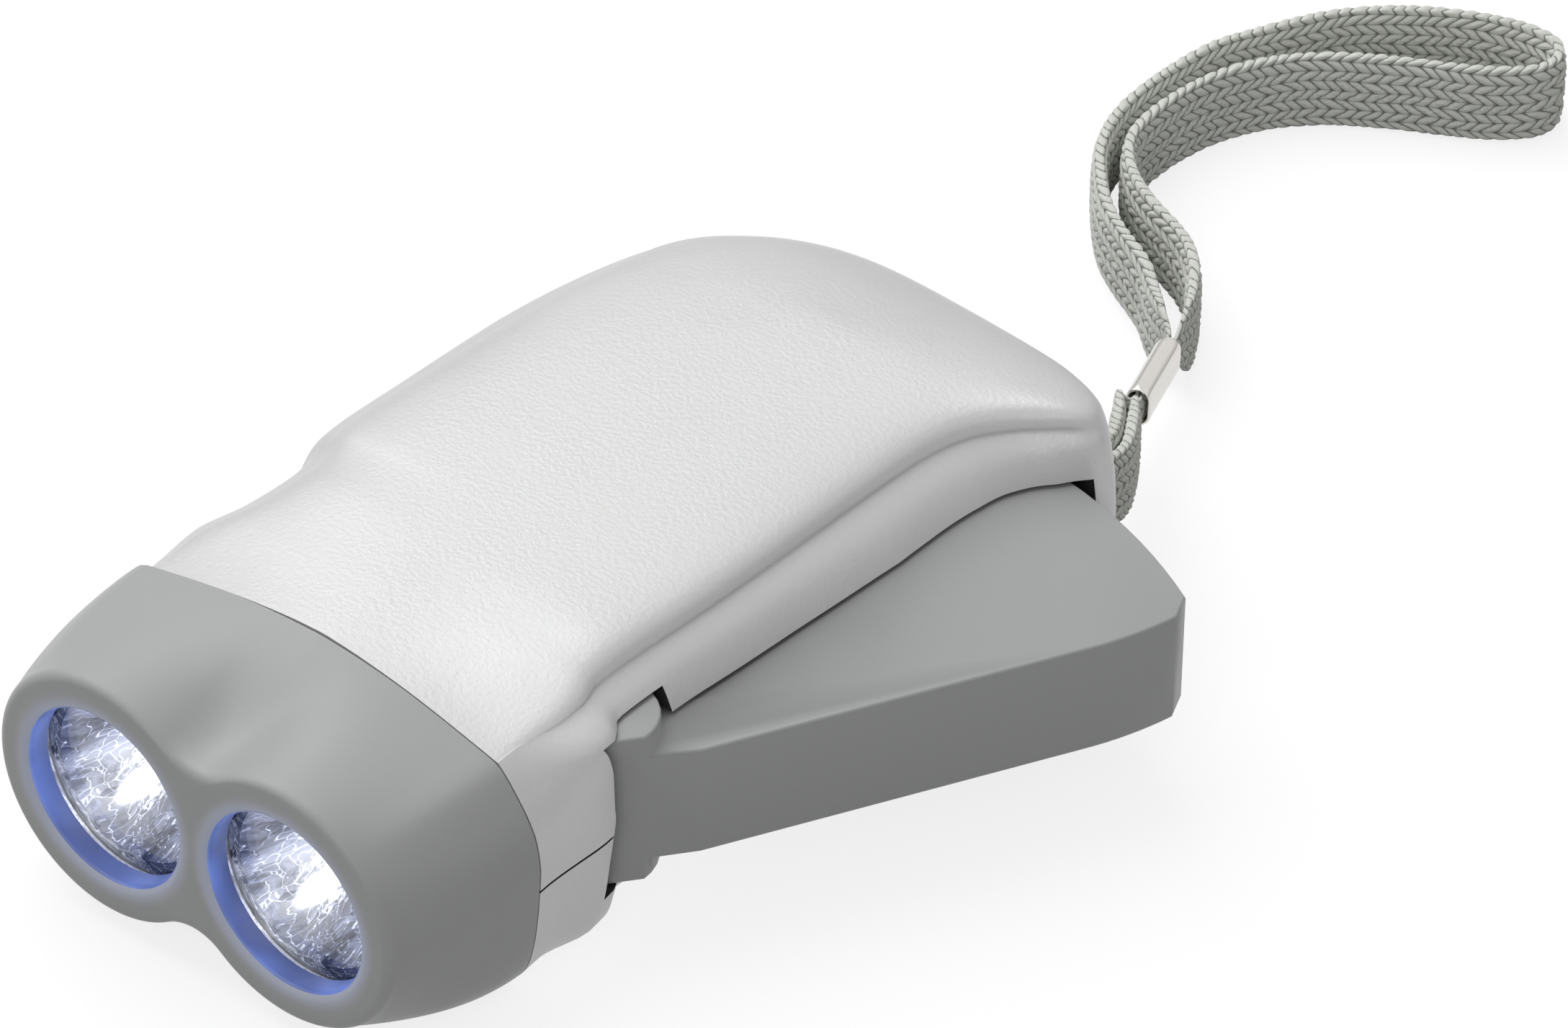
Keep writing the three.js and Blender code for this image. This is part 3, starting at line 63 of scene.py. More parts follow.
# Housing, as the CAD draws it.
BODY_LENGTH = 105.8
HEAD_LENGTH = 19.3
HEAD_PROUD = 1.3
CREASE_HALF = 24.0
CREASE_HEIGHT = 11.8
CROWN_HEIGHT = 15.8
BASE_DEPTH = 16.0
SIDE_FLARE = 4.65
SHOULDER = 31.0
CROWN_SHOULDER = 40.0
WALL = 1.8
SEAM_GAP = 0.15
PARTING = -1.5
PARTING_GAP = 0.3
CLEARANCE = 0.3
RUNNING_GAP = 0.45
OVERRUN = 1.0
FAR = 200.0
# Tolerances: as good as touching, merged and parallel.
TOUCHING = 1e-6
MERGED = 1e-7
PARALLEL = 1e-9
FRONT_HALF_SHARE = 0.992
TAIL_FLARE_SHARE = 0.35
OUTLINE = np.array([
    [-0.98, 0.26], [-0.95, 0.295], [-0.924, 0.325], [-0.914, 0.372], [-0.922, 0.402],
    [-0.95, 0.424], [-0.992, 0.442], [-1.008, 0.462], [-1.012, 0.5], [-0.997, 0.58],
    [-0.978, 0.67], [-0.95, 0.755], [-0.9, 0.825], [-0.845, 0.877], [-0.755, 0.914],
    [-0.61, 0.946], [-0.43, 0.973], [-0.2, 0.992], [0.09, 1], [0.54, 0.998], [0.95, 0.991],
    [1.15, 0.982], [1.3, 0.968], [1.375, 0.948], [1.36, 0.928], [1.26, 0.905], [1.13, 0.873],
    [1.035, 0.835], [0.99, 0.785], [0.979, 0.7], [0.976, 0.6], [0.968, 0.48], [0.948, 0.37],
    [0.952, 0.31], [0.97, 0.25],
])
UPPER_LEVELS = [
    [0, 1, 1], [0.18, 0.99, 1], [0.41, 0.88, 0.92], [0.6, 0.65, 0.76], [0.78, 0.33, 0.55],
    [0.9, 0.09, 0.33], [1, -0.16, 0],
]
LOWER_LEVELS = [
    [0.34, 0.92, 0.9], [0.58, 0.8, 0.74], [0.76, 0.62, 0.53], [0.89, 0.32, 0.22],
    [0.96, 0, -0.1], [1, -0.47, -0.55],
]
# Inward share, then the rise at the head, over the body, and over the right wall, whose crown
# rolls down into the crease more steeply.
CROWN = [
    [0.01, 0.017, 0.08, 0.2], [0.03, 0.05, 0.2, 0.43], [0.06, 0.095, 0.31, 0.58],
    [0.11, 0.165, 0.45, 0.69], [0.2, 0.29, 0.6, 0.79], [0.35, 0.49, 0.76, 0.88],
    [0.55, 0.72, 0.885, 0.945], [0.8, 0.92, 0.98, 0.985], [0.97, 1, 1, 1],
]
# Beside the lever's barrel the right wall stands up full before it turns in to the crease: the
# flare's share there against the height's share, and where along the body it starts and ends.
PANEL_UP = np.array([[0, 1.02], [0.4, 1], [0.68, 0.97], [0.85, 0.84], [0.95, 0.5], [1, 0.15]])
PANEL_DOWN = np.array([
    [0, 1.02], [0.34, 1], [0.58, 0.97], [0.76, 0.88], [0.89, 0.66], [0.96, 0.3], [1, -0.3],
])
PANEL_RUN = (22.0, 29.6, 31.5, 34.5)
# The crown's inner rows follow a rounder plan than the crease, and its profile changes slowly
# round the tail: how far along the crease points are averaged, from where along the body, and by
# which inward share.
PLAN_REACH = 10.0
PLAN_RUN = (50.0, 85.0)
PLAN_SHARE = 0.5
# How far a normal turns to the right where the right wall's crown begins and is full.
RIGHT_FACING = (0.2, 0.9)
SPINE = np.array([[0.55, 0], [0.7, 0.04], [0.78, 0.1], [0.84, 0.18]])
FLARE_GAIN = np.array([
    [0, 1, 1], [0.2, 1.02, 1], [0.27, 1.15, 1], [0.33, 1.13, 0.8], [0.42, 1.05, 0.85],
    [0.55, 1.15, 1.1], [0.7, 1.35, 1.35], [0.82, 1.25, 1.25], [0.9, 0.95, 0.9],
    [0.94, 0.5, 0.4], [0.97, 0.32, 0.1], [1, 0.3, 0],
])
OUTLINE_STEPS = 5
LEVEL_STEPS = 4
# Points of an inset outline closer to the crease than this share of the inset are left out.
INSET_SHARE = 0.97
LACQUER_REACH = 0.08
LACQUER_FACING = 0.8

# Collar of the housing inside the head.
COLLAR_LENGTH = 2.5
COLLAR_WALL = 1.2
COLLAR_ROOT = 3.0
COLLAR_TAPER = 0.3

# Lever slot and the round recess for its barrel.
PIVOT = (23.0, 34.5)
LEVER_THICKNESS = 13.1
TAIL_BLOCK = 8.9
SLOT_END_GAP = 1.6
SLOT_FROM, SLOT_TO = 20.0, 115.0
BARREL_RADIUS = 6.0
BARREL_HEIGHT = 18.3
PIN_RADIUS = 1.5
LEVER_REACH = BODY_LENGTH - PIVOT[1] - TAIL_BLOCK
SLOT_REACH = LEVER_REACH + SLOT_END_GAP
SLOT_HALF = LEVER_THICKNESS / 2 + RUNNING_GAP
RECESS_HALF = BARREL_HEIGHT / 2 + RUNNING_GAP
RECESS_RADIUS = BARREL_RADIUS + 2 * CLEARANCE
FLOOR_TOP = WALL - BASE_DEPTH
# The CAD's pin and bore reach the floor and come out of the wall's rounded lower edge. These end
# above it.
PIN_FOOT = FLOOR_TOP + 2.4
PIN_CHAMFER = 0.3
PIN_SIDES = 48
POST_SIDES = 32
ROUND_SIDES = 72
SLOT_STEPS = 64
CORNER_STEPS = 6

# Screws: places as shares of the crease's half width and the body's length.
SCREW_SHARES = [(-0.625, 0.246), (0.583, 0.246), (-0.54, 0.898), (0.5, 0.955)]
SCREW_HEAD = (2.6, 1.6)
SCREW_SHANK = 1.2
SCREW_TOP = 6.0
SCREW_SINK = 0.7
BOSS_RADIUS = 2.8
BOSS_FOOT = (4.2, 3.7)
PLATE_SCREW_HEAD = (2.0, 1.3)
PLATE_SCREW_SHANK = 0.8
SCREW_CHAMFER = 0.35
SCREW_EDGE = 0.1
SCREW_TIP = 0.4
SCREW_SIDES = 32
# The thread: its pitch and depth, where it starts behind the head, and the shank left without it.
THREAD_PITCH = 0.5
THREAD_DEPTH = 0.18
THREAD_START = 0.3
THREAD_SPARE = 0.8
CROSS_ARM = (0.75, 0.62)
CROSS_DEPTH_SHARE = 0.62

# Lamps and head.
LAMP_SPACING = 24.12
BORE_RADIUS = 10.0
LOBE_RADIUS = 14.2
WAIST_HEIGHT = 10.4
RIM_ROUND = 1.0
BORE_DEPTH = 2.9
LENS_THICKNESS = 1.2
LENS_RIM = 0.7
LENS_CHAMFER = 0.2
REFLECTOR_FLANGE = 1.0
REFLECTOR_LIP = 0.7
REFLECTOR_DEPTH = 10.7
REFLECTOR_WALL = 0.9
CUP_STEPS = 22
CUP_OUTSIDE_SHARE = 0.86
# The lit part of a bore, as shares of its rim's rounding: how far behind the face it starts, and
# how far out it reaches.
LIT_FROM = 0.35
LIT_REACH = 0.6
HEAD_BLOCK = 6.0
LED_RADIUS = 2.5
LED_FLANGE = 0.5
LED_BASE = 1.0
LED_LENGTH = 6.3
HEAD_FULLNESS = 1.9
FACE_ROUND = 1.2
# The hollow between the lobes: how much it holds the form back, its half width, and how far it
# runs as a share of the head's length.
HOLLOW_HOLD = 1.0
HOLLOW_HALF = math.radians(36)
HOLLOW_RUN = 0.55
HEAD_SIDES = 192
HEAD_STATIONS = 26
CAVITY_STATIONS = 8
RIM_STEPS = 8
LENS_SIDES = 96
BORE_SIDES = 128
MIRROR_SIDES = 120
LED_SIDES = 64
DOME_STEPS = 12
# Where the painted glare sits on the film beside the lamp, from the lamp's axis.
GLARE_PLACE = (-3.8 * MM, -5.8 * MM, 0)
LENS_FRONT = BORE_DEPTH + CLEARANCE
LENS_BACK = LENS_FRONT + LENS_THICKNESS
REFLECTOR_FRONT = LENS_BACK + CLEARANCE

# Strap: the pin in the tail, the ferrule and the braid.
STRAP_PIN = (25.5, BODY_LENGTH - 4.4)
STRAP_HEIGHT = -3.0
STRAP_BOSS = 2.6
EYELET = (5.0, 5.3, 1.5)
BRAID_WIDTH = 9.5
BRAID_THICKNESS = 1.7
PINCHED = (3.4, 0.6)
PINCHED_SPACING = 0.85
PINCH_LENGTH = 6.5
THINNED_LENGTH = 11.0
STRAND_SLANT = 1.0
PINCH_RUN = 1.0
MEETING_GAP = 0.15
FERRULE = np.array([STRAP_PIN[0] - 9.55, STRAP_PIN[1] + 29.5, -9.0])
FERRULE_TURN = math.radians(109.4)
FERRULE_LENGTH = 10.0
FERRULE_WALL = 0.35
FERRULE_SIDES = 64
FERRULE_STEPS = 12
LIP_STEPS = 7
TAIL_ROUTE = [
    [-6.6, 22.8, -8.5], [-2.3, 16.9, -6.9], [2, 9.9, -4.9], [3.1, 4.4, -3.4], [2.4, 0, -3],
    [1.7, -2, -3], [0, -2.8, -3], [-1.9, -2, -3], [-2.8, 0, -3], [-1.4, 4.4, -3.4],
    [-0.4, 9.9, -5], [-4.3, 16.9, -7], [-8.5, 22.8, -8.6],
]
WRIST_ROUTE = [
    [-14.9, 37.5, -10.6], [-18.2, 40.3, -11.4], [-21.2, 42.7, -11.2], [-23.6, 44, -11.1],
    [-27, 45.7, -11.1], [-31.2, 48.4, -11.1], [-34.8, 51.8, -11.1], [-38, 55.7, -11.1],
    [-40.2, 60.4, -11.1], [-41.2, 65.5, -11.1], [-41.3, 72, -11.1], [-40.5, 79, -11.1],
    [-38.7, 83.5, -11.1], [-36.7, 87.9, -11.1], [-34.4, 92, -11.1], [-31.5, 95.5, -11.1],
    [-28.2, 98.5, -11.1], [-24.4, 101, -11.1], [-20.4, 103, -11.1], [-16.2, 104.2, -11.1],
    [-12.7, 103.9, -11.1], [-10.9, 101.7, -11.1], [-11.3, 98.8, -11.1], [-13.8, 96, -11.1],
    [-17.2, 93.5, -11.1], [-22.6, 90.4, -11.1], [-28.5, 86.5, -11.1], [-32.6, 82.5, -11.1],
    [-35.5, 78, -11.1], [-37.1, 73.4, -11.1], [-37.8, 68.2, -11.1], [-37.7, 63.5, -11.1],
    [-36.8, 59.6, -11.1], [-34.6, 56.4, -11.1], [-31.2, 53.6, -11.1], [-27.1, 51.5, -11.1],
    [-23.4, 50.1, -11.1], [-20.1, 48.4, -11.1], [-17.4, 46.1, -11.2], [-15.2, 43.2, -11.3],
    [-13.1, 40, -10.7],
]
COLUMNS_FROM = 40.25
BRAID_STEP = 0.25
BRAID_SIDES = 84
# How its flat section bunches up and out, how a strand swells along and across, and the height of
# a strand that lies level with the braid's face.
SECTION_POWERS = (0.9, 0.42)
STRAND_POWERS = (0.85, 0.5)
STRAND_MIDDLE = 0.6
# The pattern's wander in millimetres, and its radians per millimetre along and across.
WANDER_ACROSS = (0.12, 0.45)
WANDER_BOW = 0.6
WANDER_ALONG = (0.2, 0.6, 0.8)
WANDER_FINE = (0.12, 1.9, 1.4)
CURVE_STEPS = 16

# Finishes: how many pebbles wide a cloud of colour is, and how far the roughness swings.
CLOUD_PEBBLES = 24
ROUGHNESS_SWING = 0.04
LEAST_ROUGHNESS = 0.02
# Half the length of the cell's sleeve, and the pitch of the coil's wire, drawn coarser than the
# real one so that it shows.
SLEEVE_HALF = 7.1
WIRE_PITCH = 0.3
# The braid's tones: its fuzz, the painted shade of the valleys between strands, and worn patches.
FUZZ, FUZZ_BASE = 0.3, 0.85
FUZZ_SIZE, WORN_SIZE = 0.25, 9
VALLEY_SHADE, WORN_SHADE, WORN_SHARE = 0.2, 0.86, 0.25
# How far the bores' light spills on the head, from a lamp's axis.
SPILL_REACH = 12.5
# The film: the length of a facet along a ray, how far rays bend, how much facets differ, and its
# levels of painted light. The painted glare's parts are from, to and level.
RAY_LENGTH = 6
RAY_BEND = 0.45
FACET_SHARE = 0.22
FILM_GLOW_BASE = 0.4
OUTER_LEVEL = 0.44
GLARE_PARTS = ((0.7, 1.6, 3.0), (1.2, 8.0, 0.34))
GREY_GRAIN = {"grain": 0.35 * MM, "relief": 0.012 * MM, "variation": 0.02, "roughness": 0.4,
              "Specular_IOR_Level": 0.35}


def linear(code):
    """Linear red, green, blue and a full alpha of an sRGB hex colour."""
    parts = [int(code[i:i + 2], 16) / 255 for i in (1, 3, 5)]
    return (*(p / 12.92 if p <= 0.04045 else ((p + 0.055) / 1.055) ** 2.4 for p in parts), 1.0)


def shaded(colour, share):
    """A darker or lighter shade of a colour."""
    return (*(min(1, c * share) for c in tuple(colour)[:3]), 1.0)


def length(name, description, default):
    return FloatProperty(name=name, description=description, default=default, unit="LENGTH",
                         subtype="DISTANCE")


def colour_of(name, description, code):
    return FloatVectorProperty(name=name, description=description, default=linear(code), size=4,
                               subtype="COLOR", min=0, max=1)


class TorchSizes(bpy.types.PropertyGroup):
    """Sizes of what the scene adds to the frame."""
    strand_relief: length(
        "Strand relief", "How far a strand of the braid stands proud", 0.36 * MM)
    column_width: length(
        "Column width", "Width of one herringbone column of the braid", 1.27 * MM)
    strand_pitch: length("Strand pitch", "Spacing of the strands along the braid", 1.5 * MM)
    grain_size: length("Grain size", "Width of one pebble of the housing's grain", 0.55 * MM)
    smooth_angle: FloatProperty(
        name="Smoothing angle", description="Edges sharper than this stay crisp",
        default=math.radians(32), subtype="ANGLE")


class TorchColours(bpy.types.PropertyGroup):
    """Colours of the torch's own finishes."""
    silver: colour_of("Silver lacquer", "Colour of the housing's lacquer", "#D3D4D3")
    grey: colour_of("Grey plastic", "Colour of the head and the lever", "#B4B5B5")
    braid: colour_of("Braid", "Colour of the strap's strands", "#EEF0E9")
    glow: colour_of("Lamp glow", "Colour of the light inside the lamp bores", "#6480D2")


# Mesh tools.

def at(points):
    """Points measured from the lens face in millimetres, as metres in the frame's axes."""
    return (np.asarray(points, float) + LENS_FACE) * MM


def smoothed(rows, steps):
    """Rows of points on a smooth curve through the given rows, so many to each span."""
    rows = np.asarray(rows, float)
    ends = np.concatenate([[2 * rows[0] - rows[1]], rows, [2 * rows[-1] - rows[-2]]])
    a, b, c, d = ends[:-3], ends[1:-2], ends[2:-1], ends[3:]
    spans = []
    for t in np.arange(steps) / steps:
        spans.append(0.5 * (
            2 * b + (c - a) * t + (2 * a - 5 * b + 4 * c - d) * t ** 2
            + (3 * b - 3 * c + d - a) * t ** 3))
    between = np.stack(spans, axis=1).reshape(-1, *rows.shape[1:])
    return np.concatenate([between, rows[-1:]])


def eased(t, low, high):
    """The smooth step from 0 at low to 1 at high."""
    share = np.clip((t - low) / (high - low), 0, 1)
    return share * share * (3 - 2 * share)


def new_piece(name, mesh):
    piece = bpy.data.objects.new(name, mesh)
    bpy.context.scene.collection.objects.link(piece)
    return piece


def from_bmesh(name, bm):
    """A new piece from a bmesh, its faces turned outwards."""
    bmesh.ops.recalc_face_normals(bm, faces=bm.faces)
    mesh = bpy.data.meshes.new(name)
    bm.to_mesh(mesh)
    bm.free()
    return new_piece(name, mesh)


def loft(name, rings, capped=True):
    """A surface through rings of equally many points, closed by a cap on each end."""
    bm = bmesh.new()
    rows = [[bm.verts.new(p) for p in at(ring)] for ring in rings]
    spans = list(zip(rows, rows[1:])) if capped else list(zip(rows, rows[1:] + rows[:1]))
    for near, far in spans:
        for i in range(len(near)):
            j = (i + 1) % len(near)
            bm.faces.new((near[i], near[j], far[j], far[i]))
    if capped:
        bm.faces.new(rows[0][::-1])
        bm.faces.new(rows[-1])
    return from_bmesh(name, bm)


def prism(name, outline, low, high):
    """A plan outline raised from one height to another."""
    return loft(name, [[(x, y, z) for x, y in outline] for z in (low, high)])


def polar(radius, degrees, centre=(0, 0)):
    turn = math.radians(degrees)
    return (centre[0] + radius * math.cos(turn), centre[1] + radius * math.sin(turn))


def arc(radius, start, end, steps, centre=(0, 0)):
    return [polar(radius, start + (end - start) * i / steps, centre) for i in range(steps + 1)]


def ring_of(radius, sides, centre=(0, 0)):
    return arc(radius, 0, 360 - 360 / sides, sides - 1, centre)


def post(place, radius, low, high, sides=POST_SIDES):
    return prism("post", ring_of(radius, sides, place), low, high)


def block(x, y, z):
    return prism("block", [(x[0], y[0]), (x[1], y[0]), (x[1], y[1]), (x[0], y[1])], *z)


def spun(name, profile, sides, placed):
    """A profile of radius and depth turned about an axis, each point placed by a function."""
    bm = bmesh.new()
    rows = []
    for radius, depth in profile:
        count = 1 if radius < TOUCHING else sides
        rows.append([bm.verts.new(placed(radius, 2 * math.pi * i / sides, depth))
                     for i in range(count)])
    for near, far in zip(rows, rows[1:]):
        for i in range(sides):
            j = (i + 1) % sides
            corners = [row[k % len(row)] for row, k in ((near, i), (near, j), (far, j), (far, i))]
            corners = list(dict.fromkeys(corners))
            if len(corners) > 2:
                bm.faces.new(corners)
    bmesh.ops.remove_doubles(bm, verts=bm.verts, dist=MERGED)
    return from_bmesh(name, bm)


def turned(name, profile, x, sides=LENS_SIDES):
    """A profile turned about the axis of a lamp."""
    return spun(name, profile, sides, lambda radius, turn, depth: at((
        x + radius * math.cos(turn), depth, radius * math.sin(turn))))


def settled(piece):
    """Applies a piece's modifiers to its mesh."""
    view = bpy.context.evaluated_depsgraph_get()
    mesh = bpy.data.meshes.new_from_object(piece.evaluated_get(view))
    piece.modifiers.clear()
    piece.data = mesh


def carve(piece, tools, operation="DIFFERENCE"):
    """Cuts, joins or crosses a piece with tools, which are used up."""
    for tool in tools:
        cut = piece.modifiers.new("Carve", "BOOLEAN")
        cut.operation = operation
        cut.solver = "MANIFOLD"
        cut.object = tool
    settled(piece)
    for tool in tools:
        bpy.data.objects.remove(tool)


def copied(name, node_name):
    """A new piece with a CAD node's mesh, its split corners joined."""
    bm = bmesh.new()
    bm.from_mesh(NODES[node_name].data)
    bmesh.ops.remove_doubles(bm, verts=bm.verts, dist=TOUCHING)
    return from_bmesh(name, bm)


def two_finishes(piece, first, second, is_second):
    """Gives a piece two finishes, the second on every face that a test picks."""
    piece.data.materials.clear()
    for finish in (first, second):
        piece.data.materials.append(MATERIALS[finish])
    for face in piece.data.polygons:
        if is_second(face):
            face.material_index = 1


def dress(piece, finish, body, slot, *nodes):
    """Gives a piece its finish, body and the nodes that it stands for. Its record slot is not
    used.
    """
    mesh = piece.data
    if not mesh.materials:
        mesh.materials.append(MATERIALS[finish])
    mesh.polygons.foreach_set("use_smooth", [True] * len(mesh.polygons))
    mesh.set_sharp_from_angle(angle=bpy.context.scene.torch_sizes.smooth_angle)
    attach(piece, body)
    if nodes:
        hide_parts(*nodes)


# Material tools.

def feed(node, inputs):
    """Sets or links a node's inputs, by name or in order. A node stands for its first output."""
    if isinstance(inputs, dict):
        pairs = [(node.inputs[name], value) for name, value in inputs.items()]
    else:
        pairs = zip([socket for socket in node.inputs if socket.enabled], inputs)
    for socket, value in pairs:
        if isinstance(value, bpy.types.Node):
            value = next(output for output in value.outputs if output.enabled)
        if isinstance(value, bpy.types.NodeSocket):
            node.id_data.links.new(value, socket)
        else:
            socket.default_value = value


def add_to(tree, kind, inputs=(), **settings):
    """Adds a node, makes its settings, and sets or links its inputs."""
    made = tree.nodes.new("ShaderNode" + kind)
    for name, value in settings.items():
        setattr(made, name, value)
    feed(made, inputs)
    return made


def finish_of(name, metallic=0.0, roughness=0.5, **sockets):
    """A material, what adds nodes to it, and its shader with its even values set."""
    material = bpy.data.materials.new(name)
    material.use_nodes = True
    shader = material.node_tree.nodes["Principled BSDF"]
    feed(shader, {"Metallic": metallic, "Roughness": roughness})
    feed(shader, {socket.replace("_", " "): value for socket, value in sockets.items()})
    return material, partial(add_to, material.node_tree), shader


def grained(name, colour, grain, relief, variation=0.04, metallic=0.0, roughness=0.5, **sockets):
    """A finish with a fine grain: its width and depth in metres, and its change of colour."""
    material, add, shader = finish_of(name, metallic, roughness, **sockets)
    place = add("TexCoord").outputs["Object"]
    pebbles = add("TexNoise", {
        "Vector": place, "Scale": 1 / grain, "Detail": 2.0, "Roughness": 0.5})
    clouds = add("TexNoise", {
        "Vector": place, "Scale": 1 / (grain * CLOUD_PEBBLES), "Detail": 3.0})
    both = add("Math", [clouds, pebbles], operation="ADD")
    mottle = add("Math", [both, 0.5], operation="MULTIPLY")
    shades = shaded(colour, 1 - variation), shaded(colour, 1 + variation)
    feed(shader, {
        "Base Color": add("Mix", [mottle, *shades], data_type="RGBA"),
        "Roughness": add("MapRange", {
            "Value": clouds, "From Min": 0.3, "From Max": 0.7,
            "To Min": max(LEAST_ROUGHNESS, roughness - ROUGHNESS_SWING),
            "To Max": min(1, roughness + ROUGHNESS_SWING)}),
        "Normal": add("Bump", {"Strength": 0.6, "Distance": relief, "Height": pebbles})})
    return material


# The even finishes: name, colour, the grain's width and depth in millimetres, how far its colour
# changes, how metallic it is and how rough.
EVEN_FINISHES = {
    # The housing's moulding inside, without lacquer: drawn near black as painted shade in the
    # seams, the slot and the notches, and dull.
    "bare": ("Unpainted dark ABS", "#2C2C2B", 0.5, 0.02, 0.1, 0.0, 0.6),
    # Nickel plating on a crimped brass tube: a mirror with faint draw lines.
    "nickel": ("Nickel plated brass", "#D6D3CE", 0.5, 0.002, 0.02, 1.0, 0.12),
    # Zinc plated steel: bright, slightly cloudy.
    "steel": ("Zinc plated steel", "#B9BCC0", 0.3, 0.006, 0.06, 1.0, 0.3),
    # Moulded nylon: milky, waxy.
    "nylon": ("Moulded nylon", "#E9E7DF", 0.4, 0.01, 0.02, 0.0, 0.45),
    # Sintered ferrite: near black with a gritty face.
    "ferrite": ("Sintered ferrite", "#3A3A3D", 0.25, 0.03, 0.12, 0.0, 0.62),
    # Moulded black plastic of the small parts and the sleeves of the leads.
    "black": ("Moulded black plastic", "#25262A", 0.3, 0.01, 0.1, 0.0, 0.45),
    # PVC sleeve of the red leads: soft and a little glossy.
    "red": ("Red PVC sleeve", "#A33A32", 0.4, 0.01, 0.05, 0.0, 0.4),
}
MATERIALS = {}


def make_materials():
    colours, sizes = bpy.context.scene.torch_colours, bpy.context.scene.torch_sizes
    # Moulded ABS under satin silver lacquer: a pale pebble grain with a soft metallic sheen.
    MATERIALS["silver"] = grained(
        "Satin silver lacquer on moulded ABS", colours.silver, sizes.grain_size, 0.065 * MM,
        variation=0.05, metallic=0.34, roughness=0.42)
    # Moulded ABS, unpainted: an even mid grey with a low sheen.
    MATERIALS["grey"] = grained("Moulded grey ABS", colours.grey, **GREY_GRAIN)
    # Injection moulded acrylic, clear and polished.
    MATERIALS["lens"] = finish_of(
        "Polished acrylic", roughness=0.02, IOR=1.49, Transmission_Weight=1.0)[0]
    for key, (name, code, grain, relief, *look) in EVEN_FINISHES.items():
        MATERIALS[key] = grained(name, linear(code), grain * MM, relief * MM, *look)
    MATERIALS.update(
        head=head_finish(colours.grey), board=board_finish(), cell=cell_finish(),
        copper=winding_finish(), braid=braid_finish(colours.braid, sizes),
        bore=bore_finish(colours.glow), mirror=mirror_finish(), led=led_finish())


def head_finish(grey):
    """The lever's grey ABS on the head, where light from the bores spills over their rims."""
    material = grained("Moulded grey ABS round the lamps", grey, **GREY_GRAIN)
    add = partial(add_to, material.node_tree)
    radius, depth, _, _ = from_lamp(add)
    spill = add("MapRange", {
        "Value": radius, "From Min": BORE_RADIUS * MM, "From Max": SPILL_REACH * MM,
        "To Min": 0.16, "To Max": 0.0}, interpolation_type="SMOOTHERSTEP")
    front = add("MapRange", {
        "Value": depth, "From Min": 0.6 * MM, "From Max": 1.6 * MM, "To Min": 1.0, "To Max": 0.0})
    feed(material.node_tree.nodes["Principled BSDF"], {
        "Emission Strength": add("Math", [spill, front], operation="MULTIPLY"),
        "Emission Color": linear("#A9BCF2")})
    return material


def board_finish():
    """Glass epoxy under green solder mask: copper tracks show as paler green bars."""
    material, add, shader = finish_of("Green solder mask on glass epoxy", roughness=0.35)
    tracks = add("TexBrick", {
        "Vector": add("TexCoord").outputs["Object"], "Color1": linear("#2F6B45"),
        "Color2": linear("#3B7D52"), "Mortar": linear("#24573A"), "Scale": 1 / (8 * MM),
        "Mortar Size": 0.03, "Brick Width": 0.9, "Row Height": 0.22}).outputs
    feed(shader, {"Base Color": tracks["Color"], "Normal": add("Bump", {
        "Strength": 0.5, "Distance": 0.03 * MM, "Height": tracks["Fac"]})})
    return material


def cell_finish():
    """Nickel plated steel can in a plain blue shrink sleeve that leaves its ends bare."""
    material, add, shader = finish_of("Blue shrink sleeve over a steel can", roughness=0.3)
    place = add("TexCoord").outputs["Object"]
    out = add("Math", [add("SeparateXYZ", [place])], operation="ABSOLUTE")
    bare = add("MapRange", {
        "Value": out, "From Min": SLEEVE_HALF * MM, "From Max": (SLEEVE_HALF + 0.1) * MM})
    ripple = add("TexNoise", {"Vector": place, "Scale": 400.0})
    sleeve = add("Mix", [ripple, linear("#2D4A86"), linear("#35559A")], data_type="RGBA")
    feed(shader, {
        "Base Color": add("Mix", [bare, sleeve, linear("#B9BCC0")], data_type="RGBA"),
        "Metallic": bare,
        "Normal": add("Bump", {
            "Strength": 0.4, "Distance": 0.05 * MM, "Height": ripple})})
    return material


def winding_finish():
    """Enamelled copper wire wound in close layers: fine bands round the bobbin, painted darker
    between the turns as shade and lighter on them as highlight.
    """
    material, add, shader = finish_of("Enamelled copper wire", metallic=1.0, roughness=0.3)
    across = add("SeparateXYZ", [add("TexCoord").outputs["Object"]])
    phase = add("Math", [across, 2 * math.pi / (WIRE_PITCH * MM)], operation="MULTIPLY")
    turns = add("Math", [phase], operation="SINE")
    # Painted shade between the turns and painted highlight on them, from one copper.
    shade = add("MapRange", {"Value": turns, "From Min": -1.0, "From Max": 1.0})
    feed(shader, {
        "Base Color": add("Mix", [shade, linear("#7A3F1E"), linear("#C97B48")],
                          data_type="RGBA"),
        "Normal": add("Bump", {
            "Strength": 1.0, "Distance": 0.12 * MM, "Height": shade})})
    return material


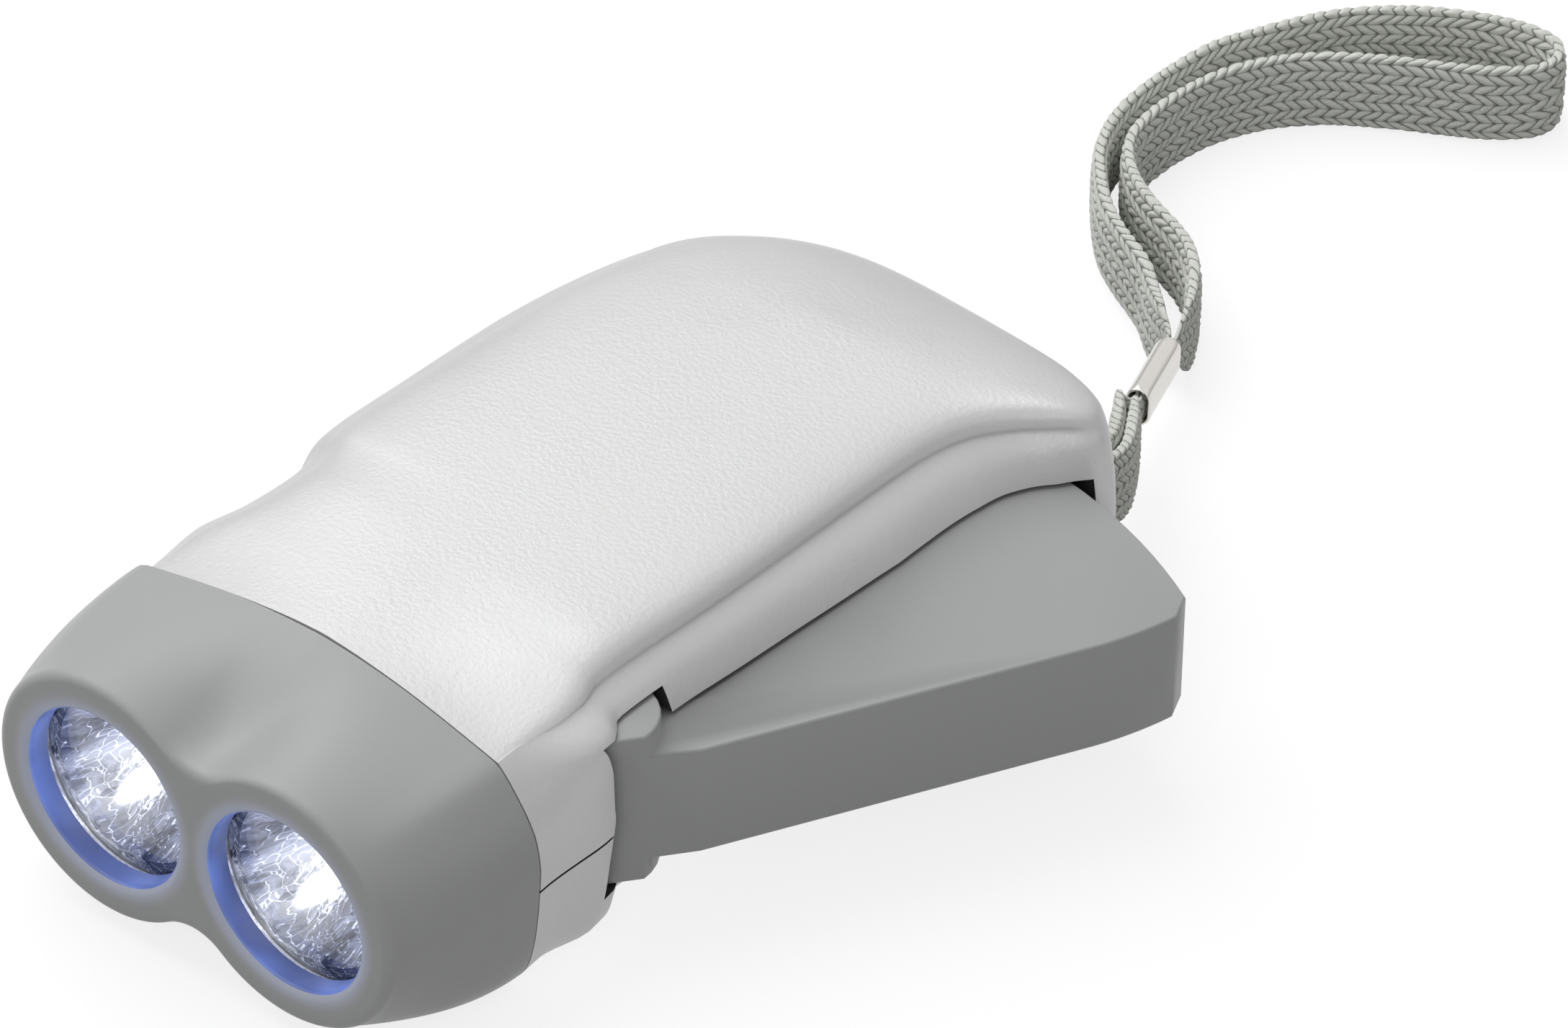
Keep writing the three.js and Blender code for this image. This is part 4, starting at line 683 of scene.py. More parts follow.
def braid_finish(colour, sizes):
    """Braided polyester yarn: slanted strands in columns, painted shade between them, and fuzzy.
    """
    material, add, shader = finish_of(
        "Braided polyester yarn", roughness=0.85, Sheen_Weight=0.25, Sheen_Roughness=0.5)
    places = add("TexCoord").outputs
    across, along, _ = add("SeparateXYZ", [places["UV"]]).outputs
    column = add("Math", [across, sizes.column_width / MM], operation="DIVIDE")
    inside = add("Math", [column], operation="FRACT")
    whole = add("Math", [column], operation="FLOOR")
    odd = add("Math", [whole, 2.0], operation="FLOORED_MODULO")
    twice = add("Math", [odd, 2.0], operation="MULTIPLY")
    side = add("Math", [twice, 1.0], operation="SUBTRACT")
    leaning = add("Math", [side, inside], operation="MULTIPLY")
    slant = add("Math", [leaning, STRAND_SLANT], operation="MULTIPLY")
    pitches = add("Math", [along, sizes.strand_pitch / MM], operation="DIVIDE")
    phase = add("Math", [pitches, slant], operation="ADD")
    swells = []
    for turns, power in zip((phase, inside), STRAND_POWERS):
        wave = add("Math", [turns, math.pi], operation="MULTIPLY")
        wave = add("Math", [wave], operation="SINE")
        wave = add("Math", [wave], operation="ABSOLUTE")
        swells.append(add("Math", [wave, power], operation="POWER"))
    height = add("Math", swells, operation="MULTIPLY")
    fuzz, worn = (add("TexNoise", {
        "Vector": places["Object"], "Scale": 1 / (width * MM), "Detail": detail})
        for width, detail in ((FUZZ_SIZE, 3.0), (WORN_SIZE, 2.0)))
    fuzz = add("Math", [fuzz, FUZZ], operation="MULTIPLY")
    fuzz = add("Math", [fuzz, FUZZ_BASE], operation="ADD")
    shade = add("Math", [height, fuzz], operation="MULTIPLY")
    ramp = add("MapRange", {"Value": shade, "From Min": 0.05, "From Max": 0.42})
    # The valleys between strands get painted shade, and the strands' crowns the full colour.
    yarn = add("Mix", [ramp, shaded(colour, VALLEY_SHADE), shaded(colour, 1)], data_type="RGBA")
    tint = add("Mix", [worn, yarn, shaded(colour, WORN_SHADE)],
               data_type="RGBA", blend_type="MULTIPLY")
    feed(shader, {
        "Base Color": add("Mix", [WORN_SHARE, yarn, tint], data_type="RGBA"),
        "Normal": add("Bump", {"Strength": 0.6, "Distance": 0.1 * MM, "Height": shade})})
    return material


def from_lamp(add):
    """Distances from the nearer lamp's axis and behind the face, and across and up from it."""
    x, y, z = add("SeparateXYZ", [add("TexCoord").outputs["Object"]]).outputs
    side = add("Math", [x], operation="SIGN")
    lamp = add("Math", [side, LAMP_SPACING / 2 * MM], operation="MULTIPLY")
    across, height, depth = (
        add("Math", pair, operation="SUBTRACT")
        for pair in ([x, lamp], [z, LENS_FACE[2] * MM], [y, LENS_FACE[1] * MM]))
    squares = [add("Math", [part, part], operation="MULTIPLY") for part in (across, height)]
    square = add("Math", squares, operation="ADD")
    return add("Math", [square], operation="SQRT"), depth, across, height


def bore_finish(glow):
    """The grey wall of a bore, lit blue by the lamp behind it, brighter towards the face."""
    material, add, shader = finish_of("Moulded grey ABS lit by the lamps", roughness=0.35)
    _, depth, _, _ = from_lamp(add)
    deep = add("MapRange", {
        "Value": depth, "From Min": 0.3 * MM, "From Max": BORE_DEPTH * MM,
        "To Min": 0.42, "To Max": 0.2})
    patch = add("TexNoise", {
        "Vector": add("TexCoord").outputs["Object"], "Scale": 1 / (7 * MM), "Detail": 1.0})
    lift = add("MapRange", {
        "Value": patch, "From Min": 0.4, "From Max": 0.65, "To Min": 0.75, "To Max": 1.7})
    feed(shader, {
        "Base Color": linear("#5A6596"), "Emission Color": tuple(glow),
        "Emission Strength": add("Math", [deep, lift], operation="MULTIPLY")})
    return material


def mirror_finish():
    """Vacuum metallised reflector: bright creased film in facets that run out from the lamp, its
    facets painted lighter and darker as reflection, with a painted glare, white beside the lamp
    and blue-grey outside, painted dimmer above and below the lamp, where it mirrors the unlit
    head."""
    material, add, shader = finish_of("Vacuum metallised reflector", metallic=1.0, roughness=0.06)
    radius, _, across, height = from_lamp(add)
    rays = add("CombineXYZ", [
        add("Math", [across, radius], operation="DIVIDE"),
        add("Math", [height, radius], operation="DIVIDE"),
        add("Math", [radius, 1 / (RAY_LENGTH * MM)], operation="MULTIPLY")])
    bent = add("TexNoise", {
        "Vector": rays, "Scale": 2.2, "Detail": 3.0, "Distortion": 0.6})
    bent_rays = add("Mix", [RAY_BEND, rays, bent.outputs["Color"]], data_type="VECTOR")
    facets = add("TexVoronoi", {"Vector": bent_rays, "Scale": 7.0})
    facet = add("SeparateXYZ", [facets.outputs["Color"]])
    folds = add("TexVoronoi", {"Vector": bent_rays, "Scale": 11.0},
                feature="DISTANCE_TO_EDGE")
    fold = add("MapRange", {
        "Value": folds, "From Min": 0.0, "From Max": 0.035, "To Min": 0.35, "To Max": 0.0})
    facet = add("Math", [facet, FACET_SHARE], operation="MULTIPLY")
    film = add("MapRange", {
        "Value": add("Math", [facet, bent], operation="ADD"),
        "From Min": 0.42, "From Max": 0.8})
    film = add("Math", [film, fold], operation="ADD")
    upright = add("MapRange", {
        "Value": add("Math", [height], operation="ABSOLUTE"), "From Min": 3.5 * MM,
        "From Max": 8.5 * MM, "To Min": 1.0, "To Max": 0.25}, interpolation_type="SMOOTHSTEP")
    glare = add("VectorMath", [
        add("CombineXYZ", [across, height]), GLARE_PLACE], operation="DISTANCE")
    hot, near = (add("MapRange", {
        "Value": glare, "From Min": start * MM, "From Max": end * MM,
        "To Min": level, "To Max": 0.0}, interpolation_type="SMOOTHSTEP")
        for start, end, level in GLARE_PARTS)
    film_glow = add("Math", [film, FILM_GLOW_BASE], operation="ADD")
    spread = add("Math", [near, film_glow], operation="MULTIPLY")
    outer = add("Math", [film, upright], operation="MULTIPLY")
    outer = add("Math", [outer, OUTER_LEVEL], operation="MULTIPLY")
    soft = add("Math", [spread, outer], operation="ADD")
    outward = add("MapRange", {"Value": glare, "From Min": 3.0 * MM, "From Max": 9.0 * MM})
    feed(shader, {
        "Base Color": add("Mix", [film, linear("#53586E"), linear("#D5DAEC")],
                          data_type="RGBA"),
        "Emission Color": add("Mix", [outward, linear("#F6F9FF"), linear("#B4C1EA")],
                              data_type="RGBA"),
        "Emission Strength": add("Math", [hot, soft], operation="ADD"),
        "Normal": add("Bump", {"Strength": 0.7, "Distance": 0.5 * MM, "Height": film})})
    return material


def led_finish():
    """Clear epoxy lens of a lit white lamp."""
    material, add, shader = finish_of("Lit clear epoxy", roughness=0.08)
    flecks = add("TexNoise", {
        "Vector": add("TexCoord").outputs["Object"], "Scale": 1 / (1.5 * MM)})
    tint = add("Mix", [flecks, linear("#F4F8FF"), linear("#FFFFFF")], data_type="RGBA")
    feed(shader, {"Base Color": tint, "Emission Color": tint, "Emission Strength": 3.3})
    return material


# Strap.

def curve_through(points, step):
    """Evenly spaced points on the centripetal curve through the points, which are in mm."""
    p = np.asarray(points, float)
    p = np.concatenate([[2 * p[0] - p[1]], p, [2 * p[-1] - p[-2]]])
    fine = []
    for a, b, c, d in zip(p, p[1:], p[2:], p[3:]):
        ka, kb, kc = (max(1e-4, np.linalg.norm(v) ** 0.5) for v in (b - a, c - b, d - c))
        leave = ((b - a) / ka - (c - a) / (ka + kb) + (c - b) / kb) * kb
        arrive = ((c - b) / kb - (d - b) / (kb + kc) + (d - c) / kc) * kb
        for t in np.arange(CURVE_STEPS) / CURVE_STEPS:
            fine.append(
                (2 * t ** 3 - 3 * t ** 2 + 1) * b + (t ** 3 - 2 * t ** 2 + t) * leave
                + (3 * t ** 2 - 2 * t ** 3) * c + (t ** 3 - t ** 2) * arrive)
    fine = np.array(fine + [p[-2]])
    run = np.concatenate([[0], np.cumsum(np.linalg.norm(np.diff(fine, axis=0), axis=1))])
    count = max(8, round(run[-1] / step))
    places = np.linspace(0, run[-1], count + 1)
    return np.stack([np.interp(places, run, fine[:, k]) for k in range(3)], axis=1), places


def in_ferrule(along, side):
    turn = (math.cos(FERRULE_TURN), math.sin(FERRULE_TURN))
    return FERRULE + (along * turn[0] + side * turn[1], along * turn[1] - side * turn[0], 0)


def strand_height(across, along, sizes):
    """Height of the braid's strands, 0 to 1, at places across and along it in mm."""
    column = across / (sizes.column_width / MM)
    inside = column - np.floor(column)
    side = 2 * np.mod(np.floor(column), 2) - 1
    phase = along / (sizes.strand_pitch / MM) + side * inside * STRAND_SLANT
    along_power, across_power = STRAND_POWERS
    return np.abs(np.sin(np.pi * phase)) ** along_power * np.sin(np.pi * inside) ** across_power


def braid(name, points):
    """A flat braid on edge along a route, its strands raised, pinched towards both ends."""
    sizes = bpy.context.scene.torch_sizes
    route, run = curve_through(points, BRAID_STEP)
    total = run[-1]
    heading = np.gradient(route, axis=0)
    side = np.stack([heading[:, 1], -heading[:, 0], np.zeros(len(route))], axis=1)
    side /= np.linalg.norm(side, axis=1)[:, None]
    from_end = np.minimum(run, total - run)
    mouth = FERRULE_LENGTH / 2
    wide_share = eased(from_end, mouth, PINCH_LENGTH + mouth)
    full = eased(from_end, mouth, THINNED_LENGTH + mouth)
    half_width = (PINCHED[0] + (BRAID_WIDTH - PINCHED[0]) * wide_share) / 2
    half_thick = (PINCHED[1] + (BRAID_THICKNESS - PINCHED[1]) * full) / 2
    relief = sizes.strand_relief / MM
    turn = 2 * np.pi * np.arange(BRAID_SIDES) / BRAID_SIDES
    # A flattened ring: its places bunch up evenly along the two faces.
    up, out = (np.abs(wave) ** power * np.sign(wave)
               for wave, power in zip((np.cos(turn), np.sin(turn)), SECTION_POWERS))
    bm = bmesh.new()
    flat = bm.loops.layers.uv.new("UVMap")
    rows = []
    places = []
    for k in range(len(route)):
        # The hand-held tension of a braiding machine is never even, so the pattern wanders.
        across = up * half_width[k] + COLUMNS_FROM + WANDER_ACROSS[0] * math.sin(
            run[k] * WANDER_ACROSS[1])
        along = run[k] + WANDER_BOW * out + WANDER_ALONG[0] * np.sin(
            run[k] * WANDER_ALONG[1] + across * WANDER_ALONG[2]) + WANDER_FINE[0] * np.sin(
            run[k] * WANDER_FINE[1] - across * WANDER_FINE[2])
        places.append((across, along))
        raised = (strand_height(across, along, sizes) - STRAND_MIDDLE) * relief * full[k]
        thick = out * half_thick[k] + np.sign(out) * raised * np.abs(out)
        wide = up * (half_width[k] + raised * (1 - np.abs(out)))
        ring = route[k] + side[k] * thick[:, None] + np.array([0, 0, 1.0]) * wide[:, None]
        rows.append([bm.verts.new(p) for p in at(ring)])
    for k in range(len(rows) - 1):
        for i in range(BRAID_SIDES):
            j = (i + 1) % BRAID_SIDES
            face = bm.faces.new((rows[k][i], rows[k][j], rows[k + 1][j], rows[k + 1][i]))
            for loop, (m, n) in zip(face.loops, ((i, k), (j, k), (j, k + 1), (i, k + 1))):
                loop[flat].uv = (places[n][0][m], places[n][1][m])
    bm.faces.new(rows[0][::-1])
    bm.faces.new(rows[-1])
    return from_bmesh(name, bm), route, total


class TORCH_OT_strap(bpy.types.Operator):
    """Braids the wrist loop and the tail loop, and rolls the ferrule that grips them"""
    bl_idname = "torch.strap"
    bl_label = "Strap and Ferrule"

    def execute(self, context):
        tail, _, _ = self.held("tail_loop", -1, TAIL_ROUTE)
        dress(tail, "braid", "housing", "sage_braid", "strap_tail_loop")
        wrist, route, total = self.held("wrist_loop", 1, WRIST_ROUTE)
        dress(wrist, "braid", "housing", "sage_braid", "wrist_strap")
        ferrule = self.rolled_ferrule()
        dress(ferrule, "nickel", "housing", "chrome", "strap_ferrule")
        return {"FINISHED"}

    def held(self, name, way, middle):
        """A braid that leaves the ferrule one way, follows its route and comes back."""
        base = np.array([*STRAP_PIN, 0])
        half = PINCHED_SPACING / 2
        inner, mouth = way * MEETING_GAP, way * (FERRULE_LENGTH / 2 + PINCH_RUN)
        return braid(name, [
            in_ferrule(inner, -way * half), in_ferrule(mouth, -way * half), *(base + middle),
            in_ferrule(mouth, way * half), in_ferrule(inner, way * half)])

    def rolled_ferrule(self):
        """A flattened tube with rolled lips, its section followed round from lip to lip."""
        inner = np.array([PINCHED_SPACING / 2 + PINCHED[1] / 2 + CLEARANCE,
                          PINCHED[0] / 2 + CLEARANCE])
        lip = FERRULE_WALL / 2
        ends = FERRULE_LENGTH / 2 - lip
        profile = []
        for way in (1, -1):
            profile += [((1 + way) / 2, t)
                        for t in np.linspace(-way * ends, way * ends, FERRULE_STEPS)]
            profile += [((1 + way * math.cos(a)) / 2, way * (ends + lip * math.sin(a)))
                        for a in np.linspace(0, np.pi, LIP_STEPS)[1:-1]]
        turn = 2 * np.pi * np.arange(FERRULE_SIDES) / FERRULE_SIDES
        rings = []
        for share, along in profile:
            half = inner + FERRULE_WALL * share
            straight = half[1] - half[0]
            side = half[0] * np.cos(turn)
            up = half[0] * np.sin(turn) + np.sign(np.sin(turn)) * straight
            rings.append([in_ferrule(along, s) + (0, 0, u) for s, u in zip(side, up)])
        return loft("ferrule", rings, capped=False)


# Housing.

def normals_of(outline):
    normals = np.zeros_like(outline)
    along = outline[2:] - outline[:-2]
    along /= np.linalg.norm(along, axis=1)[:, None]
    normals[1:-1] = np.stack([-along[:, 1], along[:, 0]], axis=1)
    normals[0], normals[-1] = (-1, 0), (1, 0)
    return normals


def crease_outline(front, inset=0.0, stations=1):
    """The crease in plan, open across the front, set in by a wall."""
    half = FRONT_HALF_SHARE * CREASE_HALF
    outline = np.concatenate([
        [(-half, front)], OUTLINE * (CREASE_HALF, BODY_LENGTH), [(half, front)]])
    outline = smoothed(outline, stations)
    if not inset:
        return outline
    moved = outline - normals_of(outline) * inset
    starts, spans = outline[:-1], outline[1:] - outline[:-1]
    kept = []
    for point in moved:
        share = np.clip(((point - starts) * spans).sum(1) / (spans ** 2).sum(1), 0, 1)
        nearest = starts + spans * share[:, None]
        if np.linalg.norm(nearest - point, axis=1).min() > inset * INSET_SHARE:
            kept.append(point)
    return np.array(kept)


def housing_rings(front, inset=0.0, skip=1, stations=1):
    """Level rings of the housing from the base to the crown."""
    outline = crease_outline(front, inset, stations)
    normals = normals_of(outline)
    up = (CROWN_HEIGHT - inset) / CROWN_HEIGHT
    down = (BASE_DEPTH - inset) / BASE_DEPTH
    behind = eased(outline[:, 1], HEAD_LENGTH, SHOULDER)
    length = outline[:, 1] / BODY_LENGTH
    high, low = (np.interp(length, FLARE_GAIN[:, 0], FLARE_GAIN[:, k]) for k in (1, 2))
    begin, full, last, gone = PANEL_RUN
    beside = eased(outline[:, 1], begin, full) * (1 - eased(outline[:, 1], last, gone))
    beside *= outline[:, 0] > 0

    def flared(z, height, at_head, at_body):
        share = at_head + (at_body - at_head) * behind
        panel = PANEL_DOWN if z < 0 else PANEL_UP
        share += (np.interp(height, panel[:, 0], panel[:, 1]) - share) * beside
        gain = high + (low - high) * height if z < 0 else high
        flare = share * SIDE_FLARE * gain
        x = outline[:, 0] + normals[:, 0] * flare
        y = outline[:, 1] + normals[:, 1] * flare * TAIL_FLARE_SHARE
        y[0] = y[-1] = front
        return np.stack([x, y, np.full(len(x), z)], axis=1)

    rings = [flared(-h * BASE_DEPTH * down, h, a, b)
             for h, a, b in LOWER_LEVELS[::-1][::skip]]
    rings += [flared(h * CREASE_HEIGHT * up, h, a, b) for h, a, b in UPPER_LEVELS[::skip]]
    spine_x = np.interp(length, SPINE[:, 0], SPINE[:, 1]) * CREASE_HALF
    spine_y = np.minimum(outline[:, 1], SPINE[-1, 0] * BODY_LENGTH)
    edge_x, edge_y = rings[-1][:, 0], rings[-1][:, 1]
    steps = np.linalg.norm(np.diff(outline, axis=0, prepend=outline[:1]), axis=1)
    along = np.cumsum(steps)
    near = np.exp(-((along[:, None] - along) / PLAN_REACH) ** 2 / 2) * np.gradient(along)
    near /= near.sum(1)[:, None]
    towards_tail = eased(outline[:, 1], *PLAN_RUN)
    rightward = near @ eased(normals[:, 0], *RIGHT_FACING)
    rounder_x, rounder_y = near @ edge_x, near @ edge_y
    crowned = eased(outline[:, 1], HEAD_LENGTH, CROWN_SHOULDER)
    for inward, at_head, at_body, at_right in CROWN[::-1][::skip][::-1]:
        rise = at_head + (at_body + (at_right - at_body) * rightward - at_head) * crowned
        turned_in = eased(inward, 0, PLAN_SHARE) * towards_tail
        row_x = edge_x + (rounder_x - edge_x) * turned_in
        row_y = edge_y + (rounder_y - edge_y) * turned_in
        rings.append(np.stack([
            row_x + (spine_x - row_x) * inward,
            row_y + (spine_y - row_y) * inward,
            (CREASE_HEIGHT + rise * (CROWN_HEIGHT - CREASE_HEIGHT)) * up], axis=1))
    return np.array(rings)


def fine_rings(front):
    return smoothed(housing_rings(front, stations=OUTLINE_STEPS), LEVEL_STEPS)


HOUSING_FRONT = HEAD_LENGTH + SEAM_GAP


def rounded_plan(half_x, half_z, corner):
    points = []
    for k, (sx, sz) in enumerate(((1, 1), (-1, 1), (-1, -1), (1, -1))):
        centre = (sx * (half_x - corner), sz * (half_z - corner))
        points += arc(corner, 90 * k, 90 * k + 90, CORNER_STEPS, centre)
    return points


def eyelet():
    """The strap's way out of the tail, a rounded opening along the body."""
    plan = rounded_plan(*EYELET)
    return loft("eyelet", [
        [(STRAP_PIN[0] + x, y, STRAP_HEIGHT + z) for x, z in plan]
        for y in (STRAP_PIN[1] - CLEARANCE, FAR)])


def lever_slot():
    wedge = [PIVOT, *arc(SLOT_REACH, SLOT_FROM, SLOT_TO, SLOT_STEPS, PIVOT)]
    return [
        prism("wedge", wedge, -SLOT_HALF, SLOT_HALF),
        post(PIVOT, RECESS_RADIUS, -RECESS_HALF, RECESS_HALF, ROUND_SIDES),
        block((PIVOT[0], FAR), (PIVOT[1], PIVOT[1] + RECESS_RADIUS), (-RECESS_HALF, RECESS_HALF)),
    ]


def hollow_housing(name):
    """The whole housing as one hollow form, with its collar and the lever's slot."""
    outer = loft(name, fine_rings(HOUSING_FRONT))
    inset = WALL + CLEARANCE + COLLAR_TAPER
    collar_front = HEAD_LENGTH - COLLAR_LENGTH
    collar = loft("collar", housing_rings(collar_front, inset, 2))
    carve(collar, [block((-FAR, FAR), (0, HOUSING_FRONT + OVERRUN), (-FAR, FAR))], "INTERSECT")
    cavity = loft("cavity", housing_rings(HOUSING_FRONT + COLLAR_ROOT, WALL, 2))
    throat = loft("throat", housing_rings(collar_front - OVERRUN, inset + COLLAR_WALL, 2))
    carve(outer, [collar], "UNION")
    carve(outer, [cavity, throat])
    pads = [post(PIVOT, RECESS_RADIUS + WALL, *ends, ROUND_SIDES) for ends in (
        (RECESS_HALF, CROWN_HEIGHT), (-BASE_DEPTH, -RECESS_HALF))]
    within(outer, pads)
    carve(outer, [*lever_slot(), eyelet()])
    return outer


def bare_and_shaded_inside(shell):
    """Leaves every face that isn't on the housing's outer form without lacquer, near black as
    painted shade.
    """
    form = loft("form", fine_rings(HOUSING_FRONT))
    tree = BVHTree.FromObject(form, bpy.context.evaluated_depsgraph_get())

    def is_inside(face):
        _, facing, _, away = tree.find_nearest(face.center)
        return away > LACQUER_REACH * MM or facing.dot(face.normal) < LACQUER_FACING

    two_finishes(shell, "silver", "bare", is_inside)
    bpy.data.objects.remove(form)


def within(shell, bosses):
    """Joins bosses to a shell, each cut off halfway through the housing's wall."""
    for boss in bosses:
        form = loft("form", housing_rings(HOUSING_FRONT, WALL / 2, 2))
        carve(boss, [form], "INTERSECT")
    carve(shell, bosses, "UNION")


def in_plan(shares):
    return [(x * CREASE_HALF, y * BODY_LENGTH) for x, y in shares]


class TORCH_OT_housing(bpy.types.Operator):
    """Moulds the two halves of the housing with the crease, the slot and the bosses"""
    bl_idname = "torch.housing"
    bl_label = "Housing"

    def execute(self, context):
        screws = in_plan(SCREW_SHARES)
        start, end = PARTING + PARTING_GAP / 2, PARTING - PARTING_GAP / 2
        top = hollow_housing("top_housing")
        bottom = new_piece("bottom_housing", top.data.copy())
        carve(top, [block((-FAR, FAR), (-FAR, FAR), (start, FAR))], "INTERSECT")
        within(top, [post(place, BOSS_RADIUS, start, CROWN_HEIGHT) for place in screws])
        carve(top, [post(place, SCREW_SHANK + CLEARANCE, -FAR, SCREW_TOP + CLEARANCE)
                    for place in screws])
        bare_and_shaded_inside(top)
        dress(top, "silver", "housing", "silver_plastic", "top_shell")

        carve(bottom, [block((-FAR, FAR), (-FAR, FAR), (-FAR, end))], "INTERSECT")
        within(bottom, [
            *(post(place, BOSS_RADIUS, -BASE_DEPTH, end) for place in screws),
            *(post(place, BOSS_FOOT[0], -BASE_DEPTH, BOSS_FOOT[1] - BASE_DEPTH)
              for place in screws),
            post(STRAP_PIN, STRAP_BOSS, -BASE_DEPTH, STRAP_HEIGHT - EYELET[1] - CLEARANCE)])
        deep = SCREW_SINK + SCREW_HEAD[1] + CLEARANCE - BASE_DEPTH
        carve(bottom, [
            *(post(place, SCREW_SHANK + CLEARANCE, -FAR, 0) for place in screws),
            *(post(place, SCREW_HEAD[0] + CLEARANCE, -FAR, deep) for place in screws),
            post(STRAP_PIN, PIN_RADIUS + CLEARANCE, FLOOR_TOP, 0),
            post(PIVOT, PIN_RADIUS + CLEARANCE, PIN_FOOT - CLEARANCE, 0)])
        bare_and_shaded_inside(bottom)
        dress(bottom, "silver", "housing", "silver_plastic", "bottom_shell")
        return {"FINISHED"}


# Head and lamps.

def face_edge(angle):
    """Distance from the middle of the lens face to its figure-of-eight edge."""
    c, s = abs(math.cos(angle)), abs(math.sin(angle))
    half = LAMP_SPACING / 2
    waist = (half ** 2 + WAIST_HEIGHT ** 2 - LOBE_RADIUS ** 2) / (2 * (LOBE_RADIUS - WAIST_HEIGHT))
    centre = WAIST_HEIGHT + waist
    touch_x = half - LOBE_RADIUS * half / (LOBE_RADIUS + waist)
    touch_z = LOBE_RADIUS * centre / (LOBE_RADIUS + waist)
    if s * touch_x < c * touch_z:
        return half * c + math.sqrt(LOBE_RADIUS ** 2 - (half * s) ** 2)
    return centre * s - math.sqrt(waist ** 2 - (centre * c) ** 2)


def seam_edges(angles):
    """Distances from the middle line to the housing's own section at the seam."""
    rings = smoothed(housing_rings(HEAD_LENGTH), LEVEL_STEPS)
    section = np.concatenate([rings[:, -1][:, [0, 2]], rings[::-1, 0][:, [0, 2]]])
    spans = np.roll(section, -1, axis=0) - section
    found = []
    for angle in angles:
        ray = np.array([math.cos(angle), math.sin(angle)])
        across = ray[0] * spans[:, 1] - ray[1] * spans[:, 0]
        across[np.abs(across) < PARALLEL] = PARALLEL
        along = (ray[1] * section[:, 0] - ray[0] * section[:, 1]) / across
        distance = (section[:, 0] * spans[:, 1] - section[:, 1] * spans[:, 0]) / across
        found.append(distance[(along >= -TOUCHING) & (along <= 1 + TOUCHING)].max())
    return np.array(found)


class HeadForm:
    """Sections of the head between the figure-of-eight face and the seam."""

    def __init__(self, sides):
        self.angles = 2 * np.pi * np.arange(sides) / sides
        self.face = np.array([face_edge(a) for a in self.angles])
        self.seam = seam_edges(self.angles)
        from_waist = np.abs(self.angles - np.pi) - np.pi / 2
        self.waist = np.exp(-(from_waist / HOLLOW_HALF) ** 2)

    def ring(self, y, share, inset):
        blend = 1 - (1 - share) ** HEAD_FULLNESS
        blend = blend * (1 - HOLLOW_HOLD * math.exp(-(share / HOLLOW_RUN) ** 2) * self.waist)
        radius = self.face + (self.seam - self.face) * blend - inset
        proud = blend * HEAD_PROUD * np.maximum(0, -np.cos(self.angles))
        return np.stack([radius * np.cos(self.angles) - proud, np.full(len(radius), y),
                         radius * np.sin(self.angles)], axis=1)


class TORCH_OT_head(bpy.types.Operator):
    """Moulds the grey head with its two bores, rounded at the rims"""
    bl_idname = "torch.head"
    bl_label = "Head"

    def execute(self, context):
        form = HeadForm(HEAD_SIDES)
        run = HEAD_LENGTH - FACE_ROUND
        rim = arc(FACE_ROUND, 180, 90, RIM_STEPS)
        rings = [form.ring(FACE_ROUND + x, 0, FACE_ROUND - y) for x, y in rim]
        rings += [form.ring(FACE_ROUND + s * run, s, 0)
                  for s in np.linspace(0, 1, HEAD_STATIONS)[1:]]
        head = loft("head", rings)
        start = (HEAD_BLOCK - FACE_ROUND) / run
        cavity = loft("cavity", [
            form.ring(HEAD_BLOCK, start, WALL),
            *(form.ring(FACE_ROUND + s * run, s, WALL)
              for s in np.linspace(start, 1, CAVITY_STATIONS)[1:]),
            form.ring(HEAD_LENGTH + OVERRUN, 1, WALL)])
        seat = BORE_RADIUS + LENS_RIM + CLEARANCE
        lips = [(BORE_RADIUS + RIM_ROUND * (1 - math.sin(a)), RIM_ROUND * (1 - math.cos(a)))
                for a in np.linspace(0, np.pi / 2, RIM_STEPS)]
        profile = [
            (0, -OVERRUN), (BORE_RADIUS + RIM_ROUND, -OVERRUN), *lips,
            (BORE_RADIUS, BORE_DEPTH), (seat, BORE_DEPTH),
            (seat, HEAD_BLOCK + OVERRUN), (0, HEAD_BLOCK + OVERRUN)]
        carve(head, [cavity, *(turned("bore", profile, side * LAMP_SPACING / 2, BORE_SIDES)
                               for side in (-1, 1))])
        two_finishes(head, "head", "bore", self.is_lit)
        dress(head, "head", "housing", "grey_plastic", "head_bezel")
        return {"FINISHED"}

    def is_lit(self, face):
        """Whether a face is on the wall of a bore, which the lamps light."""
        x, y, z = (np.array(face.center) / MM) - LENS_FACE
        radius = math.hypot(abs(x) - LAMP_SPACING / 2, z)
        return RIM_ROUND * LIT_FROM < y < HEAD_BLOCK and (
            radius < BORE_RADIUS + RIM_ROUND * LIT_REACH)


